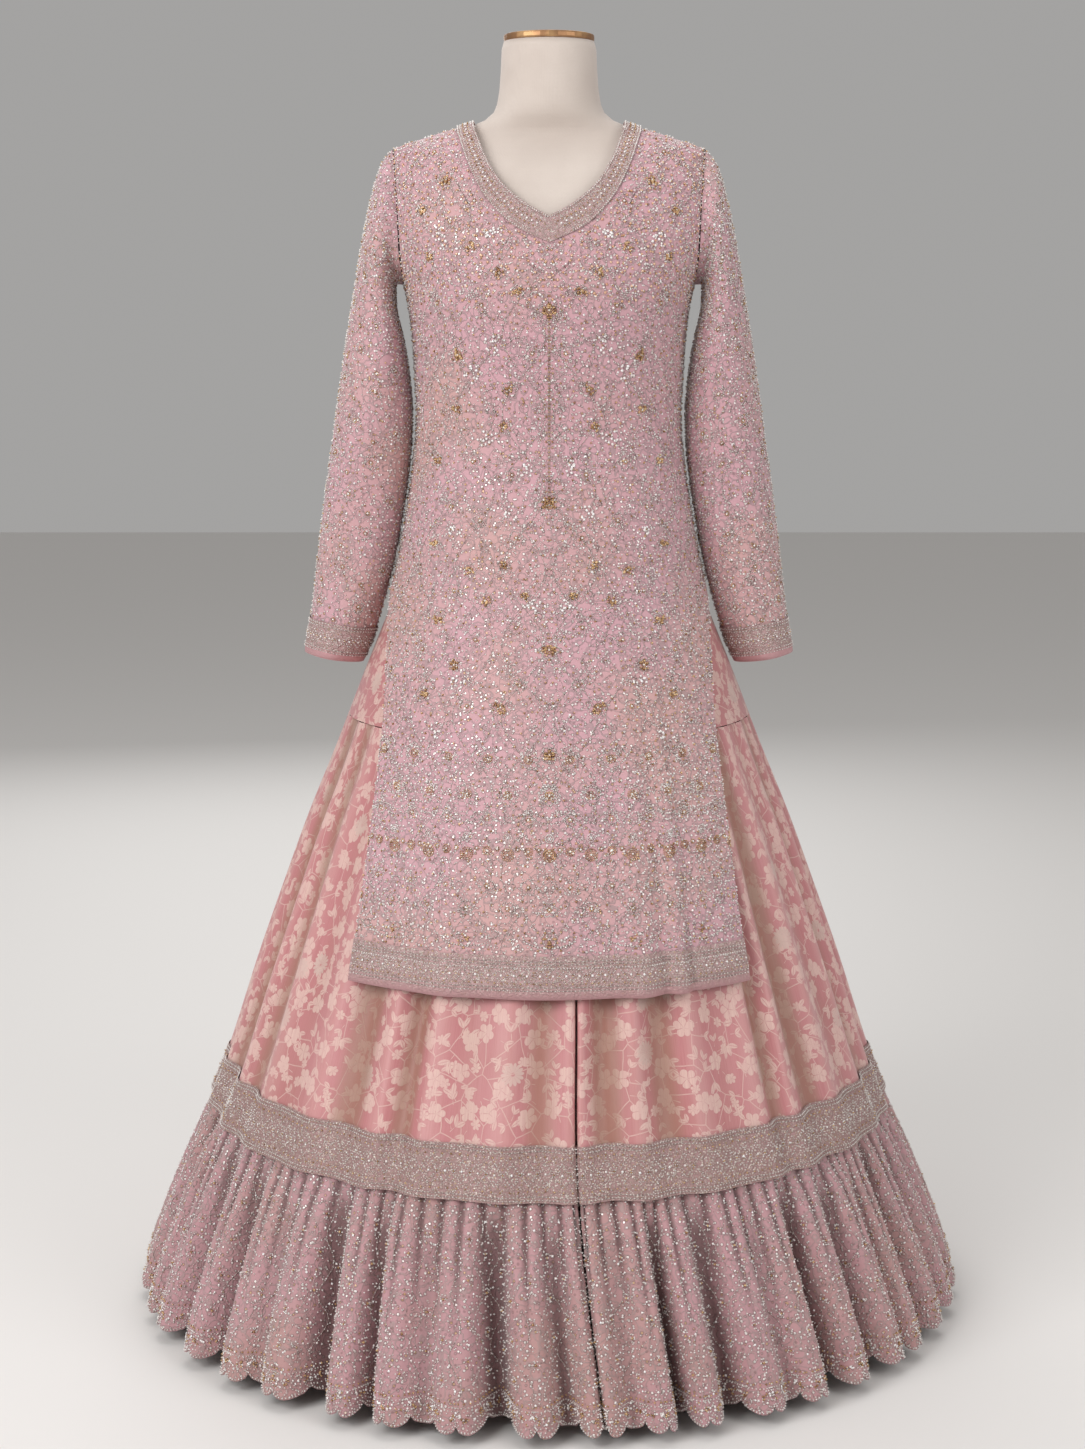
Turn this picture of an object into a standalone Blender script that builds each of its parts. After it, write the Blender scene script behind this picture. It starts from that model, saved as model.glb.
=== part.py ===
"""A sharara suit, kurta and two flared legs, worn by a limbless dress form on its stand.

Metres, +Z up. The origin is the middle of the stand's underside, and the front faces -Y.
Left and right are the wearer's: left is +X. Every cloth piece is a sheet of points on the
garment's own surface, and a Solidify modifier gives it its wall, outwards from those points.
"""
import math
from collections import namedtuple

import bpy
from mathutils import Vector

# Driving sizes
KURTA_WALL = 0.0016
SHARARA_WALL = 0.0013
BORDER_WALL = 0.0012
WAISTBAND_WALL = 0.0025
SEAM_GAP = 0.0003
HALF_SEAM = SEAM_GAP / 2
BAND_GAP = 0.00045
# A level seam between sloping walls is wider by what their edges rise
SEAM_DROP = SEAM_GAP + SHARARA_WALL * 0.4

STAND_HEIGHT = 0.012
STAND_RADIUS = 0.170
POLE_RADIUS = 0.0125
FORM_BOTTOM = 0.800
FORM_TOP = 1.581
CAP_RADIUS = 0.0555
CAP_HEIGHT = 0.008
CAP_RIM = 0.002
STAND_RIM = 0.003

SLIT_TOP = 0.930
KURTA_HEM = 0.476
KURTA_BORDER_TOP = 0.521
# The shoulder ridge: the part of the kurta above this height, where front and back meet
RIDGE_START = 1.452
ARMHOLE_STEP = 0.0020
SLEEVE_CREASE = 0.0022
# A sleeve's creases: how many lie round its ring, and how far they turn from ring to ring
SLEEVE_CREASES = 3
CREASE_TURN = 1.3
# Brings the armhole ring's front and back together at its top and bottom
END_CLOSING = 0.1

WAIST_TOP = 1.098
WAIST_BOTTOM = 1.062
YOKE_BOTTOM = 0.752
BAND_TOP = 0.313
BAND_BOTTOM = 0.2535
FLARE_BOTTOM = 0.256
HEM = 0.016
SCALLOP_RISE = 0.010

# How many points go round or along each kind of piece
FORM_COLUMNS = 24
FORM_ROW_MOST = 0.055
TURNED_SIDES = 32
PANEL_COLUMNS = 18
UPPER_STEPS = 6
STEP_CROWDING = 1.4
SLEEVE_COLUMNS = 9
YOKE_COLUMNS = 18
FOLDS_HALF_LEG = 8
FOLD_COLUMNS = 4
FLARE_WALL_COLUMNS = 4
WAVES_HALF_LEG = 11
WAVE_COLUMNS = 6
RUFFLE_WALL_COLUMNS = 8

Section = namedtuple("Section", "height half_width front back squareness")

# The dress form: level sections up the torso, over the shoulders and up the neck
FORM_SECTIONS = [
    Section(0.800, 0.146, 0.092, 0.104, 2.2),
    Section(0.860, 0.160, 0.102, 0.118, 2.2),
    Section(0.930, 0.164, 0.106, 0.124, 2.2),
    Section(1.000, 0.148, 0.102, 0.104, 2.2),
    Section(1.062, 0.127, 0.092, 0.088, 2.2),
    Section(1.098, 0.121, 0.090, 0.084, 2.2),
    Section(1.160, 0.130, 0.100, 0.090, 2.2),
    Section(1.220, 0.144, 0.118, 0.100, 2.2),
    Section(1.280, 0.156, 0.130, 0.108, 2.25),
    Section(1.330, 0.170, 0.120, 0.110, 2.3),
    Section(1.370, 0.180, 0.107, 0.105, 2.3),
    Section(1.405, 0.183, 0.092, 0.094, 2.3),
    Section(1.430, 0.180, 0.075, 0.079, 2.3),
    Section(1.4500, 0.1730, 0.055, 0.057, 2.2),
    Section(1.4645, 0.1495, 0.046, 0.047, 2.05),
    Section(1.4745, 0.1155, 0.046, 0.046, 2.0),
    Section(1.4822, 0.0895, 0.051, 0.056, 2.0),
    Section(1.4940, 0.0700, 0.056, 0.060, 2.1),
    Section(1.5140, 0.0625, 0.0565, 0.059, 2.0),
    Section(1.5500, 0.0590, 0.056, 0.057, 2.0),
    Section(1.5740, 0.0578, 0.0555, 0.0560, 2.0),
    Section(1.5810, 0.0555, 0.0535, 0.0535, 2.0),
]

# The kurta's inner face: level sections from its hem to its shoulder ridge
KURTA_SECTIONS = [
    Section(0.476, 0.3670, 0.3670, 0.3670, 2.0),
    Section(0.521, 0.3520, 0.3520, 0.3520, 2.0),
    Section(0.600, 0.3235, 0.3215, 0.3215, 2.0),
    Section(0.680, 0.2905, 0.2800, 0.2800, 2.0),
    Section(0.752, 0.2615, 0.2410, 0.2410, 2.0),
    Section(0.810, 0.2390, 0.2105, 0.2105, 2.0),
    Section(0.870, 0.2160, 0.1790, 0.1790, 2.0),
    Section(0.930, 0.1930, 0.1520, 0.1520, 2.0),
    Section(1.000, 0.1790, 0.1370, 0.1350, 2.1),
    Section(1.060, 0.1695, 0.1270, 0.1230, 2.1),
    Section(1.115, 0.1640, 0.1215, 0.1160, 2.15),
    Section(1.175, 0.1655, 0.1280, 0.1170, 2.2),
    Section(1.230, 0.1690, 0.1365, 0.1190, 2.2),
    Section(1.290, 0.1785, 0.1400, 0.1210, 2.25),
    Section(1.330, 0.1970, 0.1300, 0.1190, 2.3),
    Section(1.370, 0.2050, 0.1160, 0.1130, 2.3),
    Section(1.410, 0.2030, 0.0980, 0.1000, 2.3),
    Section(1.435, 0.1970, 0.0810, 0.0850, 2.3),
    Section(1.452, 0.1895, 0.0660, 0.0705, 2.3),
    Section(1.465, 0.1520, 0.0555, 0.0605, 2.3),
    Section(1.475, 0.1180, 0.0555, 0.0605, 2.3),
    Section(1.483, 0.0920, 0.0585, 0.0630, 2.2),
]

# The sharara's outermost face, ridge of fold to ridge of fold, from hem to waist
SHARARA_SECTIONS = [
    Section(0.016, 0.5330, 0.5330, 0.5330, 2.0),
    Section(0.062, 0.5210, 0.5210, 0.5210, 2.0),
    Section(0.155, 0.4850, 0.4850, 0.4850, 2.0),
    Section(0.256, 0.4400, 0.4400, 0.4400, 2.0),
    Section(0.313, 0.4170, 0.4170, 0.4170, 2.0),
    Section(0.434, 0.3770, 0.3770, 0.3770, 2.0),
    Section(0.526, 0.3440, 0.3440, 0.3440, 2.0),
    Section(0.619, 0.3095, 0.3060, 0.3060, 2.0),
    Section(0.711, 0.2715, 0.2580, 0.2580, 2.0),
    Section(0.802, 0.2360, 0.2090, 0.2090, 2.0),
    Section(0.930, 0.1850, 0.1430, 0.1450, 2.0),
    Section(1.000, 0.1640, 0.1210, 0.1230, 2.1),
    Section(1.062, 0.1310, 0.0960, 0.0920, 2.2),
]

# Where each front or back line of the kurta's top runs, from the shoulder seam inwards and down
Line = namedtuple("Line", "x height")
FRONT_LINES = {
    "neckline": [Line(0.0915, 1.4831), Line(0.0885, 1.470), Line(0.0760, 1.437), Line(0.0570, 1.407),
                 Line(0.0300, 1.383), Line(0.0000, 1.366)],
    "border": [Line(0.1125, 1.4766), Line(0.1090, 1.462), Line(0.0965, 1.427), Line(0.0760, 1.389),
               Line(0.0440, 1.356), Line(0.0000, 1.335)],
    "yoke": [Line(0.1300, 1.4716), Line(0.1260, 1.452), Line(0.1130, 1.408), Line(0.0890, 1.358),
             Line(0.0500, 1.315), Line(0.0000, 1.290)],
}
BACK_LINES = {
    "neckline": [Line(0.0915, 1.4831), Line(0.0870, 1.475), Line(0.0720, 1.464), Line(0.0520, 1.457),
                 Line(0.0270, 1.453), Line(0.0000, 1.452)],
    "border": [Line(0.1125, 1.4766), Line(0.1070, 1.462), Line(0.0900, 1.445), Line(0.0640, 1.435),
               Line(0.0330, 1.430), Line(0.0000, 1.429)],
    "yoke": [Line(0.1300, 1.4716), Line(0.1260, 1.450), Line(0.1130, 1.405), Line(0.0890, 1.353),
             Line(0.0500, 1.310), Line(0.0000, 1.290)],
}
ARMHOLE = [Line(0.1895, 1.4520), Line(0.1880, 1.435), Line(0.1850, 1.400), Line(0.1825, 1.360),
           Line(0.1805, 1.320), Line(0.1785, 1.290)]

# The kurta's few soft lengthways folds below the slits' tops, at the hem. Below 0 they stand out
Fold = namedtuple("Fold", "x width depth")
FRONT_FOLDS = [Fold(0.105, 0.022, -0.007), Fold(0.150, 0.020, -0.003), Fold(-0.125, 0.026, -0.005),
               Fold(-0.020, 0.040, -0.002)]
BACK_FOLDS = [Fold(-0.110, 0.024, -0.006), Fold(0.070, 0.030, -0.005), Fold(0.150, 0.022, -0.004),
              Fold(0.000, 0.030, -0.002)]
# The share of a fold's place that it keeps at the slit's top, above its full spread at the hem
FOLD_ROOT = 0.75
PANEL_HEIGHTS = [KURTA_HEM, KURTA_BORDER_TOP, 0.590, 0.660, 0.730, 0.800, 0.865, 0.900, SLIT_TOP,
                 0.990, 1.050, 1.115, 1.175, 1.235, 1.290]

# Where each slit's edges lie below its top
SlitRow = namedtuple("SlitRow", "height edge_x")
SLIT_EDGE = [SlitRow(0.476, 0.2360), SlitRow(0.555, 0.2240), SlitRow(0.660, 0.2110),
             SlitRow(0.770, 0.2000), SlitRow(0.850, 0.1975), SlitRow(0.905, 0.1970),
             SlitRow(0.930, 0.1930)]

# Sleeve rings below the armhole: the outer and inner edge seen from the front, and the depth
Ring = namedtuple("Ring", "outer_x outer_z inner_x inner_z half_depth")
SLEEVE_RINGS = [
    Ring(0.2065, 1.4340, 0.1900, 1.2890, 0.0640),
    Ring(0.2190, 1.3960, 0.1915, 1.2760, 0.0655),
    Ring(0.2310, 1.3430, 0.1895, 1.2520, 0.0660),
    Ring(0.2410, 1.2880, 0.1810, 1.2180, 0.0640),
    Ring(0.2515, 1.2280, 0.1745, 1.1760, 0.0605),
    Ring(0.2620, 1.1620, 0.1710, 1.1260, 0.0565),
    Ring(0.2720, 1.0950, 0.1745, 1.0680, 0.0530),
    Ring(0.2825, 1.0260, 0.1835, 1.0070, 0.0500),
    Ring(0.2925, 0.9520, 0.1965, 0.9400, 0.0470),
    Ring(0.3025, 0.8740, 0.2185, 0.8620, 0.0435),
    Ring(0.3100, 0.8320, 0.2355, 0.8200, 0.0410),
]

# Where the two legs part, seen from the front, and how far apart their inner sides hang
PartRow = namedtuple("PartRow", "height x gap corner")
PARTING = [PartRow(0.016, 0.062, 0.005, 30), PartRow(0.256, 0.033, 0.0050, 26),
           PartRow(0.450, 0.031, 0.0030, 26), PartRow(0.752, 0.031, 0.0006, 60)]

# The heights of each tier's rows of points
FLARE_HEIGHTS = [FLARE_BOTTOM, BAND_TOP, 0.450, 0.600, YOKE_BOTTOM]
RUFFLE_HEIGHTS = [HEM, 0.145, FLARE_BOTTOM - SEAM_DROP]
YOKE_HEIGHTS = [YOKE_BOTTOM + SEAM_DROP, 0.840, 0.930, 1.000, WAIST_BOTTOM - SEAM_DROP]

# How deep the folds of each tier are at a height
DepthRow = namedtuple("DepthRow", "height depth")
FLARE_FOLD = [DepthRow(0.256, 0.009), DepthRow(0.313, 0.010), DepthRow(0.450, 0.016),
              DepthRow(0.600, 0.012), DepthRow(0.752, 0.004)]
RUFFLE_WAVE = [DepthRow(0.016, 0.050), DepthRow(0.145, 0.031), DepthRow(0.256, 0.000)]
RUFFLE_GATHER = [DepthRow(0.016, 0.000), DepthRow(0.145, 0.002), DepthRow(0.256, 0.004)]
# The share of a wave's depth by which the plain inner sides of the ruffle sway
WALL_SWAY = 0.22
WALL_SWAYS = 3
RUFFLE_TUCK = [DepthRow(0.145, 0.000), DepthRow(0.256, 0.0016)]

# How the folds of a row differ from one to the next: by how much, and how fast along the row
Swing = namedtuple("Swing", "middle amount rate")
FOLD_WIDTH = Swing(1.0, 0.22, 2.4)
FINE_FOLD_WIDTH = Swing(0.0, 0.10, 5.1)
FLARE_FOLD_SIZE = Swing(0.80, 0.35, 1.9)
RUFFLE_WAVE_SIZE = Swing(0.85, 0.30, 2.2)
# Where each panel's own run of folds starts, so that no two panels fold alike
FLARE_START = {(1, "front"): 1.5, (1, "back"): 3.4, (-1, "front"): -0.7, (-1, "back"): 1.2}
RUFFLE_START = {(1, "front"): 1.6, (1, "back"): 3.3, (-1, "front"): 0.2, (-1, "back"): 1.9}


def read_table(rows, value, column, key="height"):
    """One column of a table at a value between its rows, on a smooth curve through them."""
    rows = sorted(rows, key=lambda row: getattr(row, key))
    places = [getattr(row, key) for row in rows]
    amounts = [getattr(row, column) for row in rows]
    if value <= places[0]:
        return amounts[0]
    if value >= places[-1]:
        return amounts[-1]
    i = max(k for k in range(len(rows) - 1) if places[k] <= value)
    step = places[i + 1] - places[i]
    slopes = []
    for k in (i, i + 1):
        lower, upper = max(k - 1, 0), min(k + 1, len(rows) - 1)
        slopes.append((amounts[upper] - amounts[lower]) / (places[upper] - places[lower]))
    t = (value - places[i]) / step
    start_share = (1 + 2 * t) * (1 - t) ** 2
    start_slope = t * (1 - t) ** 2 * step
    end_share = t * t * (3 - 2 * t)
    end_slope = t * t * (t - 1) * step
    return (start_share * amounts[i] + start_slope * slopes[0]
            + end_share * amounts[i + 1] + end_slope * slopes[1])


def read_line(points, share):
    """A point of a Line list at a share of the way along it, on a smooth curve."""
    Place = namedtuple("Place", "height x z")
    rows = [Place(i / (len(points) - 1), p.x, p.height) for i, p in enumerate(points)]
    return read_table(rows, share, "x"), read_table(rows, share, "z")


def mix(a, b, share):
    return a + (b - a) * share


def swung(swing, number, start):
    """The size of the fold of this number in a row of uneven folds."""
    return swing.middle + swing.amount * math.sin(swing.rate * number + start)


def section_point(sections, height, turn):
    """A point on a body's level section. turn 0 is the left side, pi/2 the front, pi the right."""
    half_width = read_table(sections, height, "half_width")
    depth = read_table(sections, height, "front" if math.sin(turn) >= 0 else "back")
    power = 2 / read_table(sections, height, "squareness")
    x = half_width * math.copysign(abs(math.cos(turn)) ** power, math.cos(turn))
    y = -depth * math.copysign(abs(math.sin(turn)) ** power, math.sin(turn))
    return Vector((x, y, height))


def depth_at(sections, x, height, face):
    """How far in front of or behind the middle a body's surface lies, over a point x, height."""
    half_width = read_table(sections, height, "half_width")
    squareness = read_table(sections, height, "squareness")
    share = min(1.0, abs(x) / half_width)
    return read_table(sections, height, face) * (1 - share ** squareness) ** (1 / squareness)


def material(name, colour, roughness, metallic=0.0):
    """A plain finish of one colour."""
    made = bpy.data.materials.new(name)
    made.use_nodes = True
    shader = made.node_tree.nodes["Principled BSDF"]
    shader.inputs["Base Color"].default_value = (*colour, 1.0)
    shader.inputs["Roughness"].default_value = roughness
    shader.inputs["Metallic"].default_value = metallic
    return made


def point_key(point):
    """Points within a hundredth of a millimetre are one."""
    return tuple(round(value, 5) for value in point)


def add_mesh(name, patches, finish, closed_ends=False):
    """One object from patches of points in rows. Patches that share points are joined there."""
    points, index, faces = [], {}, []
    for patch in patches:
        numbers = []
        for row in patch:
            numbers.append([])
            for point in row:
                key = point_key(point)
                if key not in index:
                    index[key] = len(points)
                    points.append(point)
                numbers[-1].append(index[key])
        for lower, upper in zip(numbers, numbers[1:]):
            for i in range(len(lower) - 1):
                corners = [lower[i], lower[i + 1], upper[i + 1], upper[i]]
                face = list(dict.fromkeys(corners))
                if len(face) > 2:
                    faces.append(face)
        if closed_ends:
            faces.append(list(reversed(numbers[0][:-1])))
            faces.append(numbers[-1][:-1])
    mesh = bpy.data.meshes.new(name)
    mesh.from_pydata(points, [], faces)
    mesh.materials.append(finish)
    mesh.shade_smooth()
    made = bpy.data.objects.new(name, mesh)
    bpy.context.scene.collection.objects.link(made)
    return made


def add_cloth(name, patches, wall, finish):
    """A cloth piece: a sheet of points with a wall on its outer side."""
    made = add_mesh(name, patches, finish)
    solidify = made.modifiers.new("wall", "SOLIDIFY")
    solidify.thickness = wall
    solidify.offset = 1.0
    solidify.use_even_offset = False
    return made


def moved_out(rows, panel, distance):
    """Rows of a panel's own points, moved out along the panel's own normals."""
    normals = {point_key(v.co): v.normal.copy() for v in panel.data.vertices}
    return [[point + normals[point_key(point)] * distance for point in row] for row in rows]


# The dress form and its stand

def build_form(linen):
    """The torso and neck in one smooth body, closed above and below."""
    heights = []
    for lower, upper in zip(FORM_SECTIONS, FORM_SECTIONS[1:]):
        heights.append(lower.height)
        if upper.height - lower.height > FORM_ROW_MOST:
            heights.append((lower.height + upper.height) / 2)
    heights.append(FORM_SECTIONS[-1].height)
    turns = [-2 * math.pi * i / FORM_COLUMNS for i in range(FORM_COLUMNS)] + [0.0]
    rows = [[section_point(FORM_SECTIONS, height, turn) for turn in turns] for height in heights]
    return add_mesh("form_torso", [rows], linen, closed_ends=True)


def add_turned(name, radius, bottom, top, edge, finish):
    """A round piece on the form's axis, with its rims eased."""
    bpy.ops.mesh.primitive_cylinder_add(
        vertices=TURNED_SIDES, radius=radius, depth=top - bottom, location=(0, 0, (top + bottom) / 2))
    made = bpy.context.active_object
    made.name = name
    made.data.materials.append(finish)
    made.data.shade_smooth()
    made.data.set_sharp_from_angle(angle=math.radians(40))
    if edge:
        bevel = made.modifiers.new("eased rims", "BEVEL")
        bevel.width = edge
        bevel.segments = 2
        bevel.limit_method = "ANGLE"
    return made


# The kurta

def soft_folds(point, face):
    """How far in the kurta's lengthways folds lie at a point. A fold that stands out is below 0."""
    below = max(0.0, (SLIT_TOP - point.z) / (SLIT_TOP - KURTA_HEM))
    folds = FRONT_FOLDS if face == "front" else BACK_FOLDS
    depth = 0.0
    for fold in folds:
        middle = fold.x * mix(FOLD_ROOT, 1.0, below)
        depth += fold.depth * math.exp(-((point.x - middle) / fold.width) ** 2)
    return depth * below


def kurta_lower_rows(face):
    """The panel from its hem to the armpit, with its side edges drawn in below the slits."""
    sign = 1 if face == "front" else -1
    rows = []
    for height in PANEL_HEIGHTS:
        half_width = read_table(KURTA_SECTIONS, height, "half_width")
        power = 2 / read_table(KURTA_SECTIONS, height, "squareness")
        edge = min(1.0, read_table(SLIT_EDGE, height, "edge_x") / half_width) if height < SLIT_TOP else 1.0
        start = math.acos(edge ** (1 / power))
        row = []
        for i in range(PANEL_COLUMNS + 1):
            turn = mix(start, math.pi - start, i / PANEL_COLUMNS)
            point = section_point(KURTA_SECTIONS, height, sign * turn)
            out = Vector((point.x, point.y, 0)).normalized()
            point -= out * soft_folds(point, face)
            if i in (0, PANEL_COLUMNS) and height >= SLIT_TOP:
                point.y = -sign * HALF_SEAM
            row.append(point)
        rows.append(row)
    return rows


def on_kurta(x, height, face):
    """The point of the kurta's inner face over x, height, half a seam short of the middle."""
    sign = -1 if face == "front" else 1
    return Vector((x, sign * max(HALF_SEAM, depth_at(KURTA_SECTIONS, x, height, face)), height))


def kurta_upper_rows(face, side, bottom_row):
    """Half of the panel above the armpit, in lines from the neckline out to the armhole."""
    lines = FRONT_LINES if face == "front" else BACK_LINES
    half = PANEL_COLUMNS // 2
    rows = []
    for number in range(half + 4):
        column = number - 3
        row = []
        for step in range(UPPER_STEPS + 1):
            share = (step / UPPER_STEPS) ** STEP_CROWDING
            neckline, border, yoke = (read_line(lines[name], share) for name in lines)
            between = ((border[0] + yoke[0]) / 2, (border[1] + yoke[1]) / 2)
            if column < 0:
                x, height = (neckline, border, between)[number]
            elif step == UPPER_STEPS:
                row.append(bottom_row[half - side * column].copy())
                continue
            else:
                far = read_line(ARMHOLE, share)
                x = mix(yoke[0], far[0], column / half)
                x = mix(x, abs(bottom_row[half - side * column].x), share ** 4)
                height = mix(yoke[1], far[1], column / half)
            point = on_kurta(x, height, face)
            if step == 0:
                point = Vector((x, math.copysign(HALF_SEAM, point.y), ridge_height(x)))
            row.append(Vector((side * point.x, point.y, point.z)))
        rows.append(row)
    return rows if (side == 1) == (face == "front") else [list(reversed(row)) for row in rows]


def ridge_height(x):
    """The height of the shoulder ridge over x."""
    ridge = [section for section in KURTA_SECTIONS if section.height >= RIDGE_START]
    return read_table(ridge, x, "height", key="half_width")


def build_kurta_body(face, cloth, trim):
    """One panel in one piece from shoulder to hem, with its neck border and its hem border."""
    lower = kurta_lower_rows(face)
    halves = {side: kurta_upper_rows(face, side, lower[-1]) for side in (1, -1)}
    lower_out = [list(reversed(row)) for row in lower] if face == "front" else lower
    panel = add_cloth("kurta_" + face, [lower_out, halves[1], halves[-1]], KURTA_WALL, cloth)
    lift = KURTA_WALL + SEAM_GAP
    neck = [moved_out(halves[side][:2], panel, lift) for side in (1, -1)]
    add_cloth("neck_border_" + face, neck, BORDER_WALL, trim)
    add_cloth("hem_border_" + face, [moved_out(lower_out[:2], panel, lift)], BORDER_WALL, trim)


def sleeve_rows(side, face):
    """The front or back half of the sleeve's rings, from the armhole down to the cuff."""
    sign = 1 if face == "front" else -1
    begin = 0.0 if face == "front" else math.pi
    turns = [begin + math.pi * i / SLEEVE_COLUMNS for i in range(SLEEVE_COLUMNS + 1)]
    top, bottom = ARMHOLE[0].height, ARMHOLE[-1].height
    first = []
    for turn in turns:
        height = mix(bottom, top, (1 + math.cos(turn)) / 2)
        x = read_table(ARMHOLE, height, "x")
        depth = depth_at(KURTA_SECTIONS, x, height, face) * abs(math.sin(turn)) ** END_CLOSING
        first.append(Vector((side * (x + ARMHOLE_STEP), -sign * depth, height)))
    rows = [first]
    for number, ring in enumerate(SLEEVE_RINGS):
        outer = Vector((ring.outer_x - KURTA_WALL, 0, ring.outer_z))
        inner = Vector((ring.inner_x + KURTA_WALL, 0, ring.inner_z))
        middle, reach = (outer + inner) / 2, (outer - inner) / 2
        row = []
        for turn in turns:
            ripple = math.sin(SLEEVE_CREASES * turn + CREASE_TURN * number)
            crease = SLEEVE_CREASE * ripple * math.sin(turn) ** 2
            point = middle + reach * math.cos(turn)
            point.y = -(ring.half_depth - crease) * math.sin(turn)
            row.append(Vector((side * point.x, point.y, point.z)))
        rows.append(row)
    for row in rows:
        row[0].y = -sign * HALF_SEAM
        row[-1].y = -sign * HALF_SEAM
    return rows if side == 1 else [list(reversed(row)) for row in rows]


def add_ring(name, halves, trim):
    """A border all round a leg or sleeve, from its front and back rows, joined at the seams."""
    for front, back in zip(*halves):
        for front_end, back_end in ((0, -1), (-1, 0)):
            shared = (front[front_end] + back[back_end]) / 2
            front[front_end] = shared
            back[back_end] = shared.copy()
    add_cloth(name, halves, BORDER_WALL, trim)


def build_sleeve(side, cloth, trim):
    """A sleeve in two halves, and its cuff border. Its top ring lies just outside the armhole."""
    name = "left" if side == 1 else "right"
    cuff = []
    for face in ("front", "back"):
        rows = sleeve_rows(side, face)
        half = add_cloth(f"sleeve_{name}_{face}", [rows], KURTA_WALL, cloth)
        cuff.append(moved_out(rows[-2:], half, KURTA_WALL + SEAM_GAP))
    add_ring("cuff_border_" + name, cuff, trim)


# The sharara

def half_leg_loop(side, height, arc_places, wall_columns, wall):
    """The front half of a leg's level outline, from the outer seam round to the inner seam.

    The outline is the sharara's own ellipse, cut off where the legs part, with a rounded corner.
    """
    wide = read_table(SHARARA_SECTIONS, height, "half_width") - wall
    deep = read_table(SHARARA_SECTIONS, height, "front") - wall
    plane = read_table(PARTING, height, "x") + side * (read_table(PARTING, height, "gap") / 2 + wall)
    sharp = read_table(PARTING, height, "corner")
    middle = Vector(((plane + side * wide) / 2, 0.0))
    corner_turn = math.acos(side * plane / wide)
    corner_depth = deep * math.sin(corner_turn)
    targets = [Vector((side * wide * math.cos(corner_turn * place), -deep * math.sin(corner_turn * place)))
               for place in arc_places]
    targets += [Vector((plane, -corner_depth * (1 - (i + 1) / wall_columns)))
                for i in range(wall_columns)]
    loop = []
    for target in targets:
        way = (target - middle).normalized()
        a = (way.x / wide) ** 2 + (way.y / deep) ** 2
        b = 2 * middle.x * way.x / wide ** 2
        c = (middle.x / wide) ** 2 - 1
        to_arc = (-b + math.sqrt(b * b - 4 * a * c)) / (2 * a)
        towards = way.x * -side
        to_plane = (middle.x - plane) * side / towards if towards > 1e-6 else math.inf
        reach = (to_arc ** -sharp + to_plane ** -sharp) ** (-1 / sharp)
        loop.append(middle + way * reach)
    return loop


def leg_row(side, face, height, places, wall_columns, wall, inward):
    """A level row of a leg's front or back half, its folds pushed in from the outline."""
    loop = half_leg_loop(side, height, places, wall_columns, wall)
    before = [Vector((loop[0].x, -loop[1].y))] + loop[:-1]
    after = loop[1:] + [Vector((loop[-1].x, -loop[-2].y))]
    sign = 1 if face == "front" else -1
    row = []
    for i, (point, last, following) in enumerate(zip(loop, before, after)):
        along = (following - last).normalized()
        outward = Vector((-along.y, along.x)) * side
        moved = point - outward * inward(i, height)
        row.append(Vector((moved.x, sign * moved.y, height)))
    row[0].y = -sign * HALF_SEAM
    row[-1].y = -sign * HALF_SEAM
    return row


def uneven_edges(count, start):
    """Where folds of uneven width begin and end, as shares of the way round."""
    widths = [swung(FOLD_WIDTH, i, start) + swung(FINE_FOLD_WIDTH, i, 2 * start) for i in range(count)]
    return [sum(widths[:i]) / sum(widths) for i in range(count + 1)]


def column_places(edges, columns):
    """The places of the columns of points, so many to a fold."""
    places = [mix(start, end, k / columns) for start, end in zip(edges, edges[1:]) for k in range(columns)]
    return places + [edges[-1]]


def flare_fold(side, face, place, height):
    """How far in a leg's folds lie at a place on its way round."""
    start = FLARE_START[side, face]
    edges = uneven_edges(FOLDS_HALF_LEG, start)
    fold = max(i for i in range(FOLDS_HALF_LEG) if edges[i] <= place)
    phase = (place - edges[fold]) / (edges[fold + 1] - edges[fold])
    size = swung(FLARE_FOLD_SIZE, fold, start)
    return read_table(FLARE_FOLD, height, "depth") * size * math.sin(math.pi * phase)


def outward_rows(rows, side, face):
    """Turns the rows round where needed, so that the sheet faces out of the leg."""
    return rows if (side == 1) != (face == "front") else [list(reversed(row)) for row in rows]


def build_flare(side, face, cloth):
    """A leg's gathered front or back panel, from the hip yoke down to the ruffle seam."""
    places = column_places(uneven_edges(FOLDS_HALF_LEG, FLARE_START[side, face]), FOLD_COLUMNS)

    def inward(i, height):
        return flare_fold(side, face, places[i], height) if i < len(places) else 0.0

    rows = [leg_row(side, face, height, places, FLARE_WALL_COLUMNS, SHARARA_WALL, inward)
            for height in FLARE_HEIGHTS]
    rows = outward_rows(rows, side, face)
    name = "left" if side == 1 else "right"
    panel = add_cloth(f"leg_{name}_{face}", [rows], SHARARA_WALL, cloth)
    return panel, rows


def build_band(side, panels, trim):
    """The border over a leg's seam with its ruffle: one ring made from both panels' points."""
    halves = []
    for panel, rows in panels:
        bottom, top = moved_out(rows[:2], panel, SHARARA_WALL + BAND_GAP)
        cut = (BAND_BOTTOM - FLARE_BOTTOM) / (BAND_TOP - FLARE_BOTTOM)
        halves.append([[low.lerp(high, cut) for low, high in zip(bottom, top)], top])
    add_ring("band_" + ("left" if side == 1 else "right"), halves, trim)


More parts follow.
